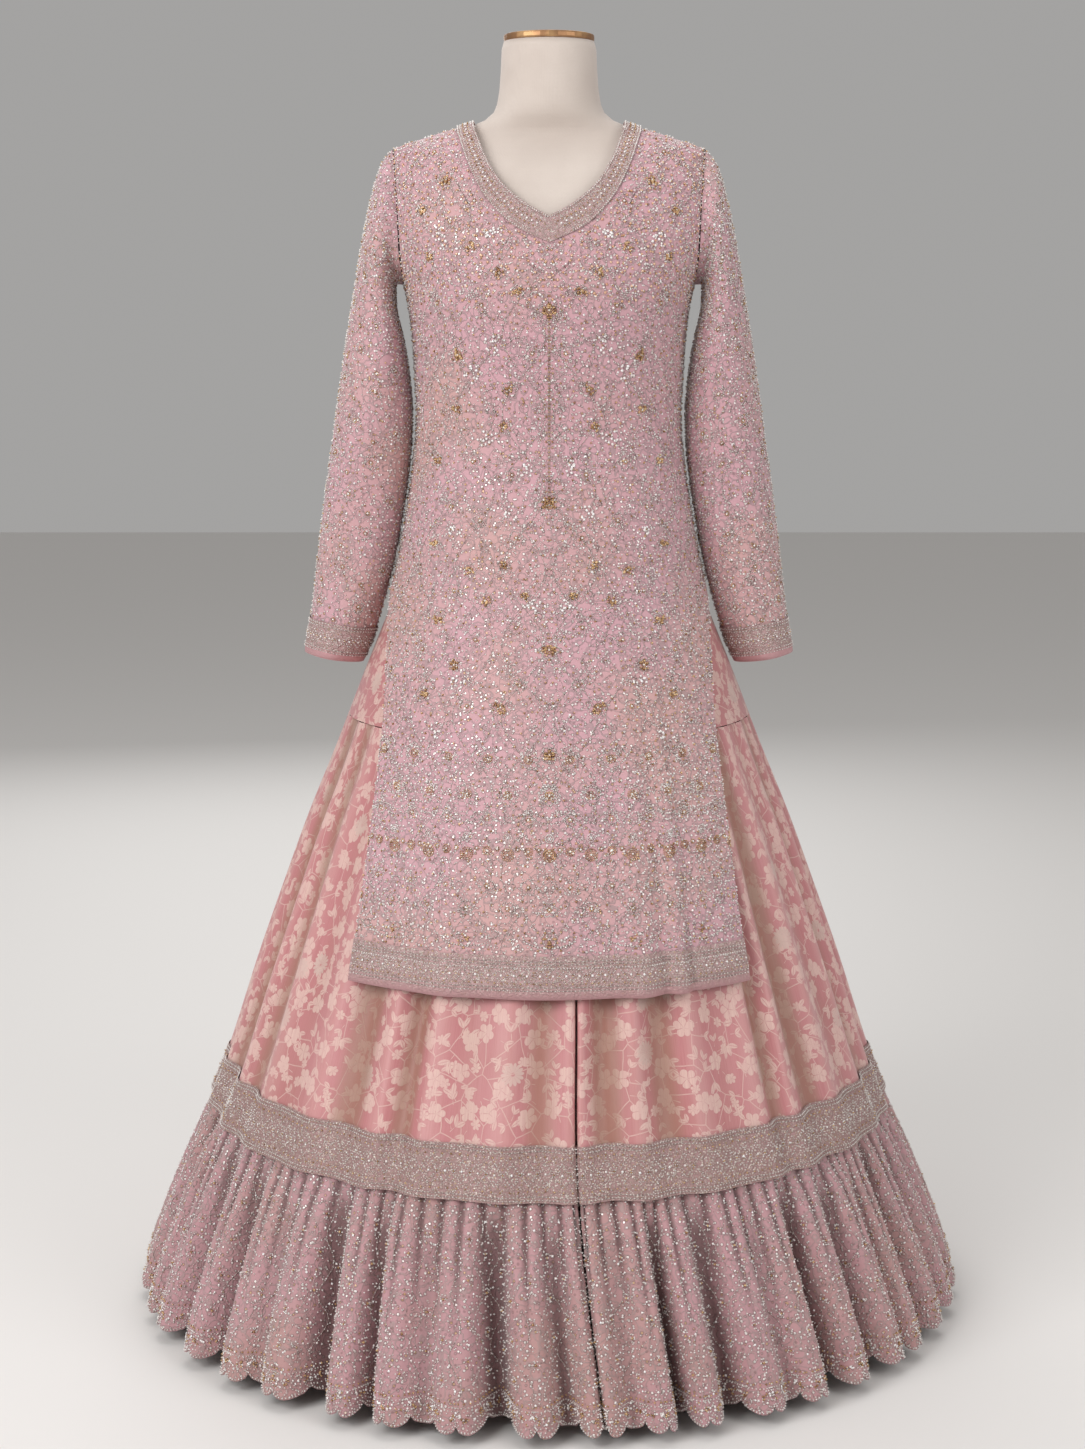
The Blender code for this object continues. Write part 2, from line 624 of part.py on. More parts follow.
def build_ruffle(side, face, cloth):
    """The front or back half of a leg's gathered ruffle, with its scalloped hem."""
    start = RUFFLE_START[side, face]
    places = column_places(uneven_edges(WAVES_HALF_LEG, start), WAVE_COLUMNS)
    arc = len(places)

    def inward(i, height):
        wave, phase = divmod(i, WAVE_COLUMNS)
        size = swung(RUFFLE_WAVE_SIZE, wave, start)
        gather = read_table(RUFFLE_GATHER, height, "depth") * (i % 2)
        tuck = read_table(RUFFLE_TUCK, height, "depth")
        deep = read_table(RUFFLE_WAVE, height, "depth")
        if i >= arc:
            share = (i - arc + 1) / RUFFLE_WALL_COLUMNS
            return tuck + gather / 2 + WALL_SWAY * deep * math.sin(WALL_SWAYS * math.pi * share) ** 2
        curl = 0.5 - 0.5 * math.cos(2 * math.pi * phase / WAVE_COLUMNS)
        sewn = flare_fold(side, face, places[i], FLARE_BOTTOM) if height == RUFFLE_HEIGHTS[-1] else 0.0
        return tuck + gather + sewn + deep * size * curl

    rows = [leg_row(side, face, height, places, RUFFLE_WALL_COLUMNS, SHARARA_WALL, inward)
            for height in RUFFLE_HEIGHTS]
    for i, point in enumerate(rows[0]):
        point.z += SCALLOP_RISE * (i % 2)
    name = "left" if side == 1 else "right"
    add_cloth(f"ruffle_{name}_{face}", [outward_rows(rows, side, face)], SHARARA_WALL, cloth)


def build_yoke(face, cloth):
    """The smooth hip yoke, from the waistband down to the gathered legs."""
    sign = 1 if face == "front" else -1
    rows = []
    for height in YOKE_HEIGHTS:
        row = []
        for i in range(YOKE_COLUMNS + 1):
            turn = math.pi * i / YOKE_COLUMNS
            point = section_point(SHARARA_SECTIONS, height, sign * turn)
            out = Vector((point.x, point.y, 0)).normalized()
            point -= out * SHARARA_WALL
            if i in (0, YOKE_COLUMNS):
                point.y = -sign * HALF_SEAM
            row.append(point)
        rows.append(row if sign == -1 else list(reversed(row)))
    add_cloth("yoke_" + face, [rows], SHARARA_WALL, cloth)


def build_waistband(form, cloth):
    """The waistband, made from the form's own points at the waist, moved out."""
    turns = [-2 * math.pi * i / FORM_COLUMNS for i in range(FORM_COLUMNS)] + [0.0]
    rows = [[section_point(FORM_SECTIONS, height, turn) for turn in turns]
            for height in (WAIST_BOTTOM, WAIST_TOP)]
    lifted = moved_out(rows, form, 2 * SEAM_GAP)
    add_cloth("waistband", [lifted], WAISTBAND_WALL, cloth)


def main():
    for old in list(bpy.data.objects):
        bpy.data.objects.remove(old)
    linen = material("form_linen", (0.78, 0.72, 0.66), 0.85)
    cap_metal = material("cap_brass", (0.42, 0.26, 0.13), 0.35, 0.9)
    stand_metal = material("stand_enamel", (0.80, 0.79, 0.77), 0.4)
    net = material("embroidered_net", (0.62, 0.42, 0.44), 0.7)
    trim = material("bead_border", (0.50, 0.40, 0.38), 0.55)
    brocade = material("rose_brocade", (0.68, 0.36, 0.35), 0.45)

    form = build_form(linen)
    add_turned("neck_cap", CAP_RADIUS, FORM_TOP + SEAM_GAP, FORM_TOP + SEAM_GAP + CAP_HEIGHT,
               CAP_RIM, cap_metal)
    add_turned("stand_pole", POLE_RADIUS, STAND_HEIGHT + SEAM_GAP, FORM_BOTTOM - SEAM_GAP, 0.0,
               stand_metal)
    add_turned("stand_base", STAND_RADIUS, 0.0, STAND_HEIGHT, STAND_RIM, stand_metal)

    for face in ("front", "back"):
        build_kurta_body(face, net, trim)
        build_yoke(face, brocade)
    build_waistband(form, brocade)
    for side in (1, -1):
        build_sleeve(side, net, trim)
        panels = [build_flare(side, face, brocade) for face in ("front", "back")]
        build_band(side, panels, trim)
        for face in ("front", "back"):
            build_ruffle(side, face, net)


main()
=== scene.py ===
import math
from collections import namedtuple

import bpy
import numpy as np
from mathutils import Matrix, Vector
from mathutils.bvhtree import BVHTree


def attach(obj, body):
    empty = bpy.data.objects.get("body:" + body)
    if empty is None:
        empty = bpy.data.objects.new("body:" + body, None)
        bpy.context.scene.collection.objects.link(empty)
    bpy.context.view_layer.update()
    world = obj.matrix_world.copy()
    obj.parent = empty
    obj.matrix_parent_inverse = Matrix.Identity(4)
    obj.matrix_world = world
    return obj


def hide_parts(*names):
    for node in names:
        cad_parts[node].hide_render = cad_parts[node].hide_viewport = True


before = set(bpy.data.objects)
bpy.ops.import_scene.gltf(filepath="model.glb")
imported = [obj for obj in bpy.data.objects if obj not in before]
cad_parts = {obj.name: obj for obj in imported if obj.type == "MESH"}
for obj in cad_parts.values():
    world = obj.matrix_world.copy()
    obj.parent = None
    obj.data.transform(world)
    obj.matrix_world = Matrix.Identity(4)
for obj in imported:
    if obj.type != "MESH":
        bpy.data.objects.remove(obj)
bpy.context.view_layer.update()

# The room: a plain pale floor, and the soft light of large screens on each side of the camera,
# overhead and behind. The camera stands three metres in front of the form, at chest height, and
# looks a little down.
CAMERA_PLACE = (-0.008, -3.041, 1.229)
CAMERA_TILT = math.radians(90 - 9.24)
CAMERA_LENS = 59.75
FLOOR_SIZE = 24.0
FLOOR_COLOUR = (0.80, 0.78, 0.76)
FLOOR_ROUGHNESS = 0.8
ROOM_COLOUR = (1.0, 0.985, 0.97)
ROOM_LIGHT = 0.37
Screen = namedtuple("Screen", "name place size power")
SCREENS = [
    Screen("screen_left", (-2.3, -2.6, 2.7), 2.4, 98),
    Screen("screen_right", (2.5, -2.2, 2.2), 2.0, 34),
    Screen("screen_above", (0.0, 0.6, 3.8), 2.6, 34),
    Screen("screen_behind", (-0.6, 3.4, 2.2), 2.4, 30),
]
LOOK_AT = Vector((0, 0, 0.85))

camera = bpy.data.objects.new("camera", bpy.data.cameras.new("camera"))
camera.location = CAMERA_PLACE
camera.rotation_euler = (CAMERA_TILT, 0, 0)
camera.data.lens = CAMERA_LENS
bpy.context.scene.collection.objects.link(camera)
bpy.context.scene.camera = camera
bpy.context.scene.view_settings.view_transform = "Standard"

for screen in SCREENS:
    lamp = bpy.data.lights.new(screen.name, "AREA")
    lamp.energy = screen.power
    lamp.size = screen.size
    holder = bpy.data.objects.new(screen.name, lamp)
    holder.location = screen.place
    holder.rotation_euler = (LOOK_AT - holder.location).to_track_quat("-Z", "Y").to_euler()
    bpy.context.scene.collection.objects.link(holder)

room = bpy.data.worlds.new("room")
bpy.context.scene.world = room
room.use_nodes = True
room.node_tree.nodes["Background"].inputs["Color"].default_value = (*ROOM_COLOUR, 1)
room.node_tree.nodes["Background"].inputs["Strength"].default_value = ROOM_LIGHT

bpy.ops.mesh.primitive_plane_add(size=FLOOR_SIZE)
floor = bpy.context.active_object
floor.name = "floor"
floor_paint = bpy.data.materials.new("floor_paint")
floor_paint.use_nodes = True
floor_paint.node_tree.nodes["Principled BSDF"].inputs["Base Color"].default_value = (*FLOOR_COLOUR, 1)
floor_paint.node_tree.nodes["Principled BSDF"].inputs["Roughness"].default_value = FLOOR_ROUGHNESS
floor.data.materials.append(floor_paint)


# The dress form: a padded torso without head or arms, covered in tightly stretched cream jersey.
# It is one smooth closed body, standing a hair inside the kurta at the shoulders. A dark bronze
# disc caps its neck, and an enamelled pole and round base carry it.
Section = namedtuple("Section", "height half_width front back squareness")
FORM_SECTIONS = [
    Section(0.800, 0.146, 0.092, 0.104, 2.2),
    Section(0.860, 0.160, 0.102, 0.118, 2.2),
    Section(0.930, 0.164, 0.106, 0.124, 2.2),
    Section(1.000, 0.148, 0.102, 0.104, 2.2),
    Section(1.062, 0.127, 0.092, 0.088, 2.2),
    Section(1.098, 0.121, 0.090, 0.084, 2.2),
    Section(1.160, 0.130, 0.100, 0.090, 2.2),
    Section(1.220, 0.144, 0.118, 0.100, 2.2),
    Section(1.280, 0.156, 0.130, 0.108, 2.25),
    Section(1.330, 0.170, 0.120, 0.110, 2.3),
    Section(1.370, 0.180, 0.107, 0.105, 2.3),
    Section(1.405, 0.183, 0.092, 0.094, 2.3),
    Section(1.430, 0.180, 0.075, 0.079, 2.3),
    Section(1.4500, 0.1730, 0.055, 0.057, 2.2),
    Section(1.4645, 0.1495, 0.046, 0.047, 2.05),
    Section(1.4745, 0.1155, 0.046, 0.046, 2.0),
    Section(1.4822, 0.0895, 0.051, 0.056, 2.0),
    Section(1.4940, 0.0700, 0.056, 0.060, 2.1),
    Section(1.5140, 0.0625, 0.0565, 0.059, 2.0),
    Section(1.5500, 0.0590, 0.056, 0.057, 2.0),
    Section(1.5740, 0.0578, 0.0555, 0.0560, 2.0),
    Section(1.5810, 0.0555, 0.0535, 0.0535, 2.0),
]
FORM_COLUMNS = 76
FORM_ROWS = 84
# The padding gives way under the kurta by this much
FORM_GIVE = 0.0012
GIVE_BELOW = 1.478
GIVE_FADE = 0.012
# Points this close are one
JOIN = 0.00001


def read_table(rows, places, column, key="height"):
    """One column of a table at places between its rows, on a smooth curve through them."""
    rows = sorted(rows, key=lambda row: getattr(row, key))
    knots = np.array([getattr(row, key) for row in rows])
    amounts = np.array([getattr(row, column) for row in rows])
    slopes = np.gradient(amounts)
    slopes[1:-1] = (amounts[2:] - amounts[:-2]) / (knots[2:] - knots[:-2])
    slopes[0] = (amounts[1] - amounts[0]) / (knots[1] - knots[0])
    slopes[-1] = (amounts[-1] - amounts[-2]) / (knots[-1] - knots[-2])
    place = np.clip(places, knots[0], knots[-1])
    i = np.clip(np.searchsorted(knots, place, side="right") - 1, 0, len(knots) - 2)
    step = knots[i + 1] - knots[i]
    t = (place - knots[i]) / step
    start = (1 + 2 * t) * (1 - t) ** 2 * amounts[i] + t * (1 - t) ** 2 * step * slopes[i]
    return start + t * t * (3 - 2 * t) * amounts[i + 1] + t * t * (t - 1) * step * slopes[i + 1]


def smooth_step(places, start, end):
    share = np.clip((places - start) / (end - start), 0, 1)
    return share * share * (3 - 2 * share)


def body_points(sections, heights, turns):
    """Points on a body at heights and turns. Turn 0 is the left side, a quarter turn the front."""
    heights, turns = np.broadcast_arrays(heights, turns)
    power = 2 / read_table(sections, heights, "squareness")
    front = read_table(sections, heights, "front")
    back = read_table(sections, heights, "back")
    depth = np.where(np.sin(turns) >= 0, front, back)
    x = np.copysign(np.abs(np.cos(turns)) ** power, np.cos(turns))
    y = np.copysign(np.abs(np.sin(turns)) ** power, np.sin(turns))
    return np.stack([x * read_table(sections, heights, "half_width"), -y * depth, heights], axis=-1)


def outwards(points):
    """Level directions away from the form's axis."""
    level = points * (1, 1, 0)
    return level / np.maximum(np.linalg.norm(level, axis=-1, keepdims=True), JOIN)


class Surface:
    """A piece's outer face as a grid of points, read between its rows and columns.

    A place on it is a distance across, from its middle column, and a distance up, from its first
    row. On gathered cloth, across is measured along the first row for all rows, as the cloth lay
    flat.
    """

    def __init__(self, points, normals, gathered=False):
        self.points = points
        self.normals = normals
        steps = np.linalg.norm(np.diff(points, axis=1), axis=2)
        self.across = np.pad(np.cumsum(steps, axis=1), ((0, 0), (1, 0)))
        if gathered:
            self.across[:] = self.across[0]
        middle = points.shape[1] // 2
        self.across -= self.across[:, middle:middle + 1]
        rises = np.linalg.norm(np.diff(points[:, middle], axis=0), axis=1)
        self.up = np.pad(np.cumsum(rises), (1, 0))

    def up_at(self, height):
        """How far up the middle column a height lies."""
        middle = self.points[:, self.points.shape[1] // 2, 2]
        return np.interp(height, middle, self.up)

    def at(self, across, up):
        """Points, normals and whether the place is on the piece."""
        row = np.interp(up, self.up, np.arange(len(self.up)))
        low = np.clip(row.astype(int), 0, len(self.up) - 2)
        share = (row - low)[:, None]
        inside = (up >= 0) & (up <= self.up[-1])
        found = []
        for shift in (0, 1):
            column = np.zeros(len(row))
            for line in np.unique(low):
                chosen = low == line
                places = self.across[line + shift]
                column[chosen] = np.interp(across[chosen], places, np.arange(len(places)))
                inside[chosen] &= (across[chosen] >= places[0]) & (across[chosen] <= places[-1])
            left = np.clip(column.astype(int), 0, self.points.shape[1] - 2)
            part = (column - left)[:, None]
            for grid in (self.points, self.normals):
                found.append(grid[low + shift, left] * (1 - part) + grid[low + shift, left + 1] * part)
        points = found[0] * (1 - share) + found[2] * share
        normals = found[1] * (1 - share) + found[3] * share
        normals /= np.maximum(np.linalg.norm(normals, axis=1, keepdims=True), JOIN)
        return points, normals, inside


def add_piece(name, patches, finish, lift=0.0, closed_ends=False, values=None, gathered=False):
    """An object from patches of points in rows, joined where they share points.

    lift moves it out along its own normals. values holds one more grid for each patch, kept as the
    mesh's own measures: across, up and how deep in a fold.
    """
    points = np.concatenate([patch.reshape(-1, 3) for patch in patches])
    corners = []
    first = 0
    for patch in patches:
        rows, columns = patch.shape[:2]
        number = first + np.arange(rows * columns).reshape(rows, columns)
        around = [number[:-1, :-1], number[:-1, 1:], number[1:, 1:], number[1:, :-1]]
        corners.append(np.stack(around, axis=-1).reshape(-1, 4))
        first += rows * columns
    keys = np.round(points / JOIN).astype(np.int64)
    _, kept, index = np.unique(keys, axis=0, return_index=True, return_inverse=True)
    index = index.reshape(-1)
    faces = [list(dict.fromkeys(face)) for face in index[np.concatenate(corners)].tolist()]
    faces = [face for face in faces if len(face) > 2]
    if closed_ends:
        columns = patches[0].shape[1]
        faces.append(index[:columns - 1][::-1].tolist())
        faces.append(index[-columns:-1].tolist())
    mesh = bpy.data.meshes.new(name)
    mesh.from_pydata(points[kept].tolist(), [], faces)
    mesh.materials.append(finish)
    mesh.shade_smooth()
    made = bpy.data.objects.new(name, mesh)
    bpy.context.scene.collection.objects.link(made)
    normals = np.empty(len(kept) * 3)
    mesh.vertices.foreach_get("normal", normals)
    normals = normals.reshape(-1, 3)
    places = points[kept] + normals * lift
    mesh.vertices.foreach_set("co", places.ravel())
    mesh.update()
    if values is not None:
        kept_values = np.concatenate([grid.reshape(-1, 3) for grid in values])[kept]
        corner_points = np.empty(len(mesh.loops), dtype=np.int32)
        mesh.loops.foreach_get("vertex_index", corner_points)
        flat = mesh.uv_layers.new(name="flat")
        flat.data.foreach_set("uv", kept_values[corner_points, :2].ravel())
        fold = mesh.attributes.new("fold", "FLOAT", "POINT")
        fold.data.foreach_set("value", kept_values[:, 2].copy())
    surfaces = []
    first = 0
    for patch in patches:
        rows, columns = patch.shape[:2]
        own = index[first:first + rows * columns].reshape(rows, columns)
        surfaces.append(Surface(places[own], normals[own], gathered))
        first += rows * columns
    return made, surfaces


class Value:
    """A socket of a shader, so that sums on it read as sums. Each adds its Math node."""

    def __init__(self, finish, socket):
        self.finish = finish
        self.socket = socket

    def math(self, operation, *others):
        return self.finish.math(operation, self, *others)

    def __add__(self, other):
        return self.math("ADD", other)

    def __radd__(self, other):
        return self.math("ADD", other)

    def __sub__(self, other):
        return self.math("SUBTRACT", other)

    def __rsub__(self, other):
        return self.finish.math("SUBTRACT", other, self)

    def __mul__(self, other):
        return self.math("MULTIPLY", other)

    def __rmul__(self, other):
        return self.math("MULTIPLY", other)

    def __truediv__(self, other):
        return self.math("DIVIDE", other)

    def __pow__(self, other):
        return self.math("POWER", other)


def paint(red, green, blue):
    """A colour from its everyday 0 to 255 values."""
    shares = [value / 255 for value in (red, green, blue)]
    return tuple(s / 12.92 if s <= 0.04045 else ((s + 0.055) / 1.055) ** 2.4 for s in shares) + (1.0,)


class Finish:
    """A material, and the nodes that its surface is worked out with."""

    def __init__(self, name, **constants):
        self.material = bpy.data.materials.new(name)
        self.material.use_nodes = True
        self.tree = self.material.node_tree
        self.shader = self.tree.nodes["Principled BSDF"]
        self.set(**constants)

    def set(self, **sockets):
        """Values or links of the shader's own sockets, with _ for a space in a name."""
        for name, value in sockets.items():
            socket = self.shader.inputs[name.replace("_", " ")]
            if isinstance(value, Value):
                self.tree.links.new(value.socket, socket)
            else:
                socket.default_value = value
        return self.material

    def node(self, kind, settings=None, sockets=None, output=0):
        """A shader node: its settings come first, then a value or a link for each socket."""
        made = self.tree.nodes.new(kind)
        for name, value in (settings or {}).items():
            setattr(made, name, value)
        for name, value in (sockets or {}).items():
            if isinstance(value, Value):
                self.tree.links.new(value.socket, made.inputs[name])
            else:
                made.inputs[name].default_value = value
        return Value(self, made.outputs[output])

    def math(self, operation, *values):
        return self.node("ShaderNodeMath", {"operation": operation}, dict(enumerate(values)))

    def vector_math(self, operation, *values, output=0):
        sockets = dict(enumerate(values))
        return self.node("ShaderNodeVectorMath", {"operation": operation}, sockets, output)

    def scaled(self, vector, factor):
        settings = {"operation": "SCALE"}
        return self.node("ShaderNodeVectorMath", settings, {0: vector, "Scale": factor})

    def fade(self, value, low, high):
        """0 at low, 1 at high, and a soft step between."""
        settings = {"interpolation_type": "SMOOTHSTEP"}
        return self.node("ShaderNodeMapRange", settings, {0: value, 1: low, 2: high})

    def blend(self, first, second, share):
        """One colour turning into another."""
        return self.node("ShaderNodeMix", {"data_type": "RGBA"}, {0: share, 6: first, 7: second}, 2)

    def place(self):
        """Where a point of the surface lies, in metres."""
        return self.node("ShaderNodeTexCoord", output=3)

    def flat_place(self):
        """Where a point lies on the cloth laid flat, in metres."""
        return self.node("ShaderNodeUVMap", {"uv_map": "flat"})

    def noise(self, vector, scale, detail=2.0, output=0):
        sockets = {"Vector": vector, "Scale": scale, "Detail": detail}
        return self.node("ShaderNodeTexNoise", None, sockets, output)

    def cells(self, vector, scale, feature="F1", output="Distance", randomness=1.0, flat=False):
        settings = {"feature": feature, "voronoi_dimensions": "2D" if flat else "3D"}
        sockets = {"Vector": vector, "Scale": scale, "Randomness": randomness}
        return self.node("ShaderNodeTexVoronoi", settings, sockets, output)

    def parts(self, vector):
        """The three parts of a vector."""
        made = self.tree.nodes.new("ShaderNodeSeparateXYZ")
        self.tree.links.new(vector.socket, made.inputs[0])
        return [Value(self, output) for output in made.outputs]

    def bump(self, height, depth, strength=1.0):
        sockets = {"Height": height, "Distance": depth, "Strength": strength}
        return self.node("ShaderNodeBump", None, sockets)


def jersey():
    """Cream knitted jersey: fine ribs of stitches, a little mottled."""
    finish = Finish("form_jersey", Roughness=0.88, Sheen_Weight=0.25)
    place = finish.place()
    x, y, z = finish.parts(place)
    cloud = finish.noise(place, 9.0, 3.0)
    fibre = finish.noise(place, 420.0, 2.0)
    rows = finish.math("SINE", z * 4200.0) * 0.5 + 0.5
    wales = finish.math("SINE", (x + y) * 3600.0) * 0.5 + 0.5
    knit = rows * wales
    cream = finish.blend(paint(204, 191, 182), paint(219, 207, 198), finish.fade(cloud, 0.3, 0.7))
    speckled = finish.blend(cream, paint(196, 181, 168), fibre * 0.28)
    return finish.set(Base_Color=speckled, Normal=finish.bump(knit * 0.6 + fibre * 0.4, 0.0004, 0.6))


def bronze():
    """Bronzed metal, darkened unevenly and rubbed bright where hands touch it."""
    finish = Finish("cap_bronze", Metallic=0.85)
    place = finish.place()
    stain = finish.noise(place, 60.0, 4.0)
    rubbed = finish.fade(finish.noise(place, 25.0, 3.0), 0.48, 0.66)
    brown = finish.blend(paint(146, 106, 76), paint(186, 142, 104), stain)
    colour = finish.blend(brown, paint(226, 186, 134), rubbed * 0.5)
    return finish.set(Base_Color=colour, Roughness=0.32 + stain * 0.25,
                      Normal=finish.bump(stain, 0.0003, 0.4))


def enamel():
    """Satin off-white enamel with a slight orange peel."""
    finish = Finish("stand_enamel", Coat_Weight=0.2)
    place = finish.place()
    cloud = finish.noise(place, 12.0, 3.0)
    peel = finish.noise(place, 350.0, 1.0)
    colour = finish.blend(paint(226, 223, 217), paint(236, 234, 229), cloud)
    return finish.set(Base_Color=colour, Roughness=0.30 + cloud * 0.14,
                      Normal=finish.bump(peel, 0.0002, 0.3))


form_heights = np.linspace(FORM_SECTIONS[0].height, FORM_SECTIONS[-1].height, FORM_ROWS)[:, None]
form_turns = -2 * math.pi * (np.arange(FORM_COLUMNS + 1) % FORM_COLUMNS) / FORM_COLUMNS
form_points = body_points(FORM_SECTIONS, form_heights, form_turns)
give = FORM_GIVE * (1 - smooth_step(form_points[..., 2:], GIVE_BELOW, GIVE_BELOW + GIVE_FADE))
form_points -= outwards(form_points) * give
form, _ = add_piece("dress_form", [form_points], jersey(), closed_ends=True)
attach(form, "root")
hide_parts("form_torso")

for node, metal in (("neck_cap", bronze()), ("stand_pole", enamel()), ("stand_base", enamel())):
    bpy.data.objects[node].material_slots[0].material = metal


# The sharara's top: a satin waistband on the form's waist, and below it the smooth hip yoke, a front
# and a back panel of rose brocade. The yoke shows at the kurta's side slits.
SHARARA_SECTIONS = [
    Section(0.016, 0.5330, 0.5330, 0.5330, 2.0),
    Section(0.062, 0.5210, 0.5210, 0.5210, 2.0),
    Section(0.155, 0.4850, 0.4850, 0.4850, 2.0),
    Section(0.256, 0.4400, 0.4400, 0.4400, 2.0),
    Section(0.313, 0.4170, 0.4170, 0.4170, 2.0),
    Section(0.434, 0.3770, 0.3770, 0.3770, 2.0),
    Section(0.526, 0.3440, 0.3440, 0.3440, 2.0),
    Section(0.619, 0.3095, 0.3060, 0.3060, 2.0),
    Section(0.711, 0.2715, 0.2580, 0.2580, 2.0),
    Section(0.802, 0.2360, 0.2090, 0.2090, 2.0),
    Section(0.930, 0.1850, 0.1430, 0.1450, 2.0),
    Section(1.000, 0.1640, 0.1210, 0.1230, 2.1),
    Section(1.062, 0.1310, 0.0960, 0.0920, 2.2),
]
SHARARA_WALL = 0.0013
# The cloth's visible face lies just inside the outer face of its wall
SHARARA_LIFT = 0.0011
HALF_SEAM = 0.00015
YOKE_BOTTOM = 0.753
YOKE_TOP = 1.061
YOKE_COLUMNS = 120
YOKE_ROWS = 30
ROSE = paint(194, 129, 131)
DEEP_ROSE = paint(180, 104, 106)
CREAM = paint(222, 192, 182)
TAN = paint(150, 108, 88)


def local_polar(finish, flat, spacing, shift, randomness):
    """Round each flower's own middle: the distance, the angle, and a chance number per flower."""
    moved = finish.vector_math("ADD", flat, (*shift, 0.0))
    middle = finish.cells(moved, 1 / spacing, output="Position", randomness=randomness, flat=True)
    chance = finish.cells(moved, 1 / spacing, output="Color", randomness=randomness, flat=True)
    first, second, _ = finish.parts(chance)
    away = finish.vector_math("SUBTRACT", moved, middle)
    x, y, _ = finish.parts(away)
    reach = finish.vector_math("LENGTH", away, output=1)
    angle = finish.math("ARCTAN2", y, x) + first * 2 * math.pi
    return reach, angle, second


def blossoms(finish, flat, spacing, radius, petals, shift=(0.0, 0.0), share=1.0):
    """A mask of round-petalled flowers with a vein between the petals and an open eye."""
    reach, angle, chance = local_polar(finish, flat, spacing, shift, 0.75)
    wave = finish.math("ABSOLUTE", finish.math("COSINE", angle * (petals / 2)))
    outline = radius * (0.62 + 0.38 * wave ** 0.6)
    petal = finish.fade(outline - reach, 0.0, 0.0007)
    vein = finish.fade(wave * reach, 0.0003, 0.0011)
    eye = finish.fade(reach, radius * 0.17, radius * 0.22)
    grown = finish.fade(chance, 1 - share - 0.001, 1 - share)
    return petal * vein * eye * grown


def leaf_pairs(finish, flat, spacing, length, width, shift):
    """A mask of pointed leaves, two on each stalk."""
    reach, angle, _ = local_polar(finish, flat, spacing, shift, 0.9)
    along = reach * finish.math("COSINE", angle)
    aside = finish.math("ABSOLUTE", reach * finish.math("SINE", angle))
    spread = math.radians(32)
    along_leaf = along * math.cos(spread) + aside * math.sin(spread) - length / 2
    across_leaf = finish.math("ABSOLUTE", aside * math.cos(spread) - along * math.sin(spread))
    taper = 1 - (along_leaf / (length / 2)) ** 2
    leaf = finish.fade(width / 2 * taper - across_leaf, 0.0, 0.0006)
    rib = finish.fade(across_leaf, 0.0001, 0.0005)
    stalk = finish.fade(0.0006 - aside, 0.0, 0.0003) * finish.fade(length * 0.6 - along, 0.0, 0.001)
    stalk = stalk * finish.fade(along, -length * 0.6, -length * 0.55)
    return finish.math("MAXIMUM", leaf * rib, stalk)


def brocade(name, painted_fold_shade=True):
    """Rose satin woven with cream blossoms, leaves and buds. On folded cloth, painted tan shade darkens its
    fold grooves and a painted highlight lightens its ridges.
    """
    finish = Finish(name, Sheen_Weight=0.2)
    flat = finish.flat_place()
    wander = finish.noise(flat, 30.0, 1.0, output=1)
    drawn = finish.vector_math("ADD", flat, finish.scaled(wander, 0.006))
    masks = [
        blossoms(finish, drawn, 0.043, 0.0125, 5),
        blossoms(finish, drawn, 0.031, 0.0075, 6, (0.31, 0.17), 0.6),
        leaf_pairs(finish, drawn, 0.026, 0.012, 0.0058, (0.53, 0.71)),
        leaf_pairs(finish, drawn, 0.034, 0.016, 0.0070, (0.19, 0.43)),
    ]
    branch = finish.cells(drawn, 1 / 0.036, "DISTANCE_TO_EDGE", flat=True)
    masks.append(finish.fade(0.022 - branch, 0.0, 0.01) * 0.8)
    motif = masks[0]
    for mask in masks[1:]:
        motif = finish.math("MAXIMUM", motif, mask)
    bud = blossoms(finish, drawn, 0.098, 0.0150, 14, (0.83, 0.29), 0.75)
    _, up, _ = finish.parts(flat)
    warp = finish.noise(finish.vector_math("MULTIPLY", flat, (900.0, 18.0, 1.0)), 1.0, 2.0)
    weft = finish.math("SINE", up * 5200.0) * 0.5 + 0.5
    cloud = finish.noise(flat, 5.0, 3.0)
    ground = finish.blend(ROSE, DEEP_ROSE, finish.fade(warp, 0.35, 0.75) * 0.45)
    ground = finish.blend(ground, TAN, finish.fade(cloud, 0.45, 0.75) * 0.22)
    thread = finish.blend(CREAM, paint(220, 184, 170), weft * 0.35 + finish.fade(warp, 0.4, 0.8) * 0.3)
    colour = finish.blend(ground, thread, motif * (0.55 + 0.4 * finish.fade(warp, 0.3, 0.7)))
    colour = finish.blend(colour, paint(206, 178, 168), bud * 0.85)
    if painted_fold_shade:
        # Painted light from the fold attribute: a painted highlight along the fold ridges, and painted tan
        # shade deep in the grooves.
        depth = finish.node("ShaderNodeAttribute", {"attribute_name": "fold"}, output=2)
        ridge = finish.fade(depth, 0.30, 0.0)
        colour = finish.blend(colour, paint(232, 190, 184), ridge * 0.22)
        colour = finish.blend(colour, TAN, finish.fade(depth, 0.28, 0.95) * 0.72)
    relief = motif * 0.6 + weft * 0.25 + warp * 0.15
    return finish.set(Base_Color=colour, Roughness=0.42 + motif * 0.14,
                      Normal=finish.bump(relief, 0.0005, 0.5))


def satin():
    """Plain rose satin with a fine horizontal rib."""
    finish = Finish("waistband_satin", Sheen_Weight=0.2)
    place = finish.place()
    _, _, z = finish.parts(place)
    rib = finish.math("SINE", z * 5200.0) * 0.5 + 0.5
    cloud = finish.noise(place, 14.0, 3.0)
    colour = finish.blend(ROSE, DEEP_ROSE, cloud * 0.5 + rib * 0.2)
    return finish.set(Base_Color=colour, Roughness=0.36 + rib * 0.1, Normal=finish.bump(rib, 0.0003, 0.4))


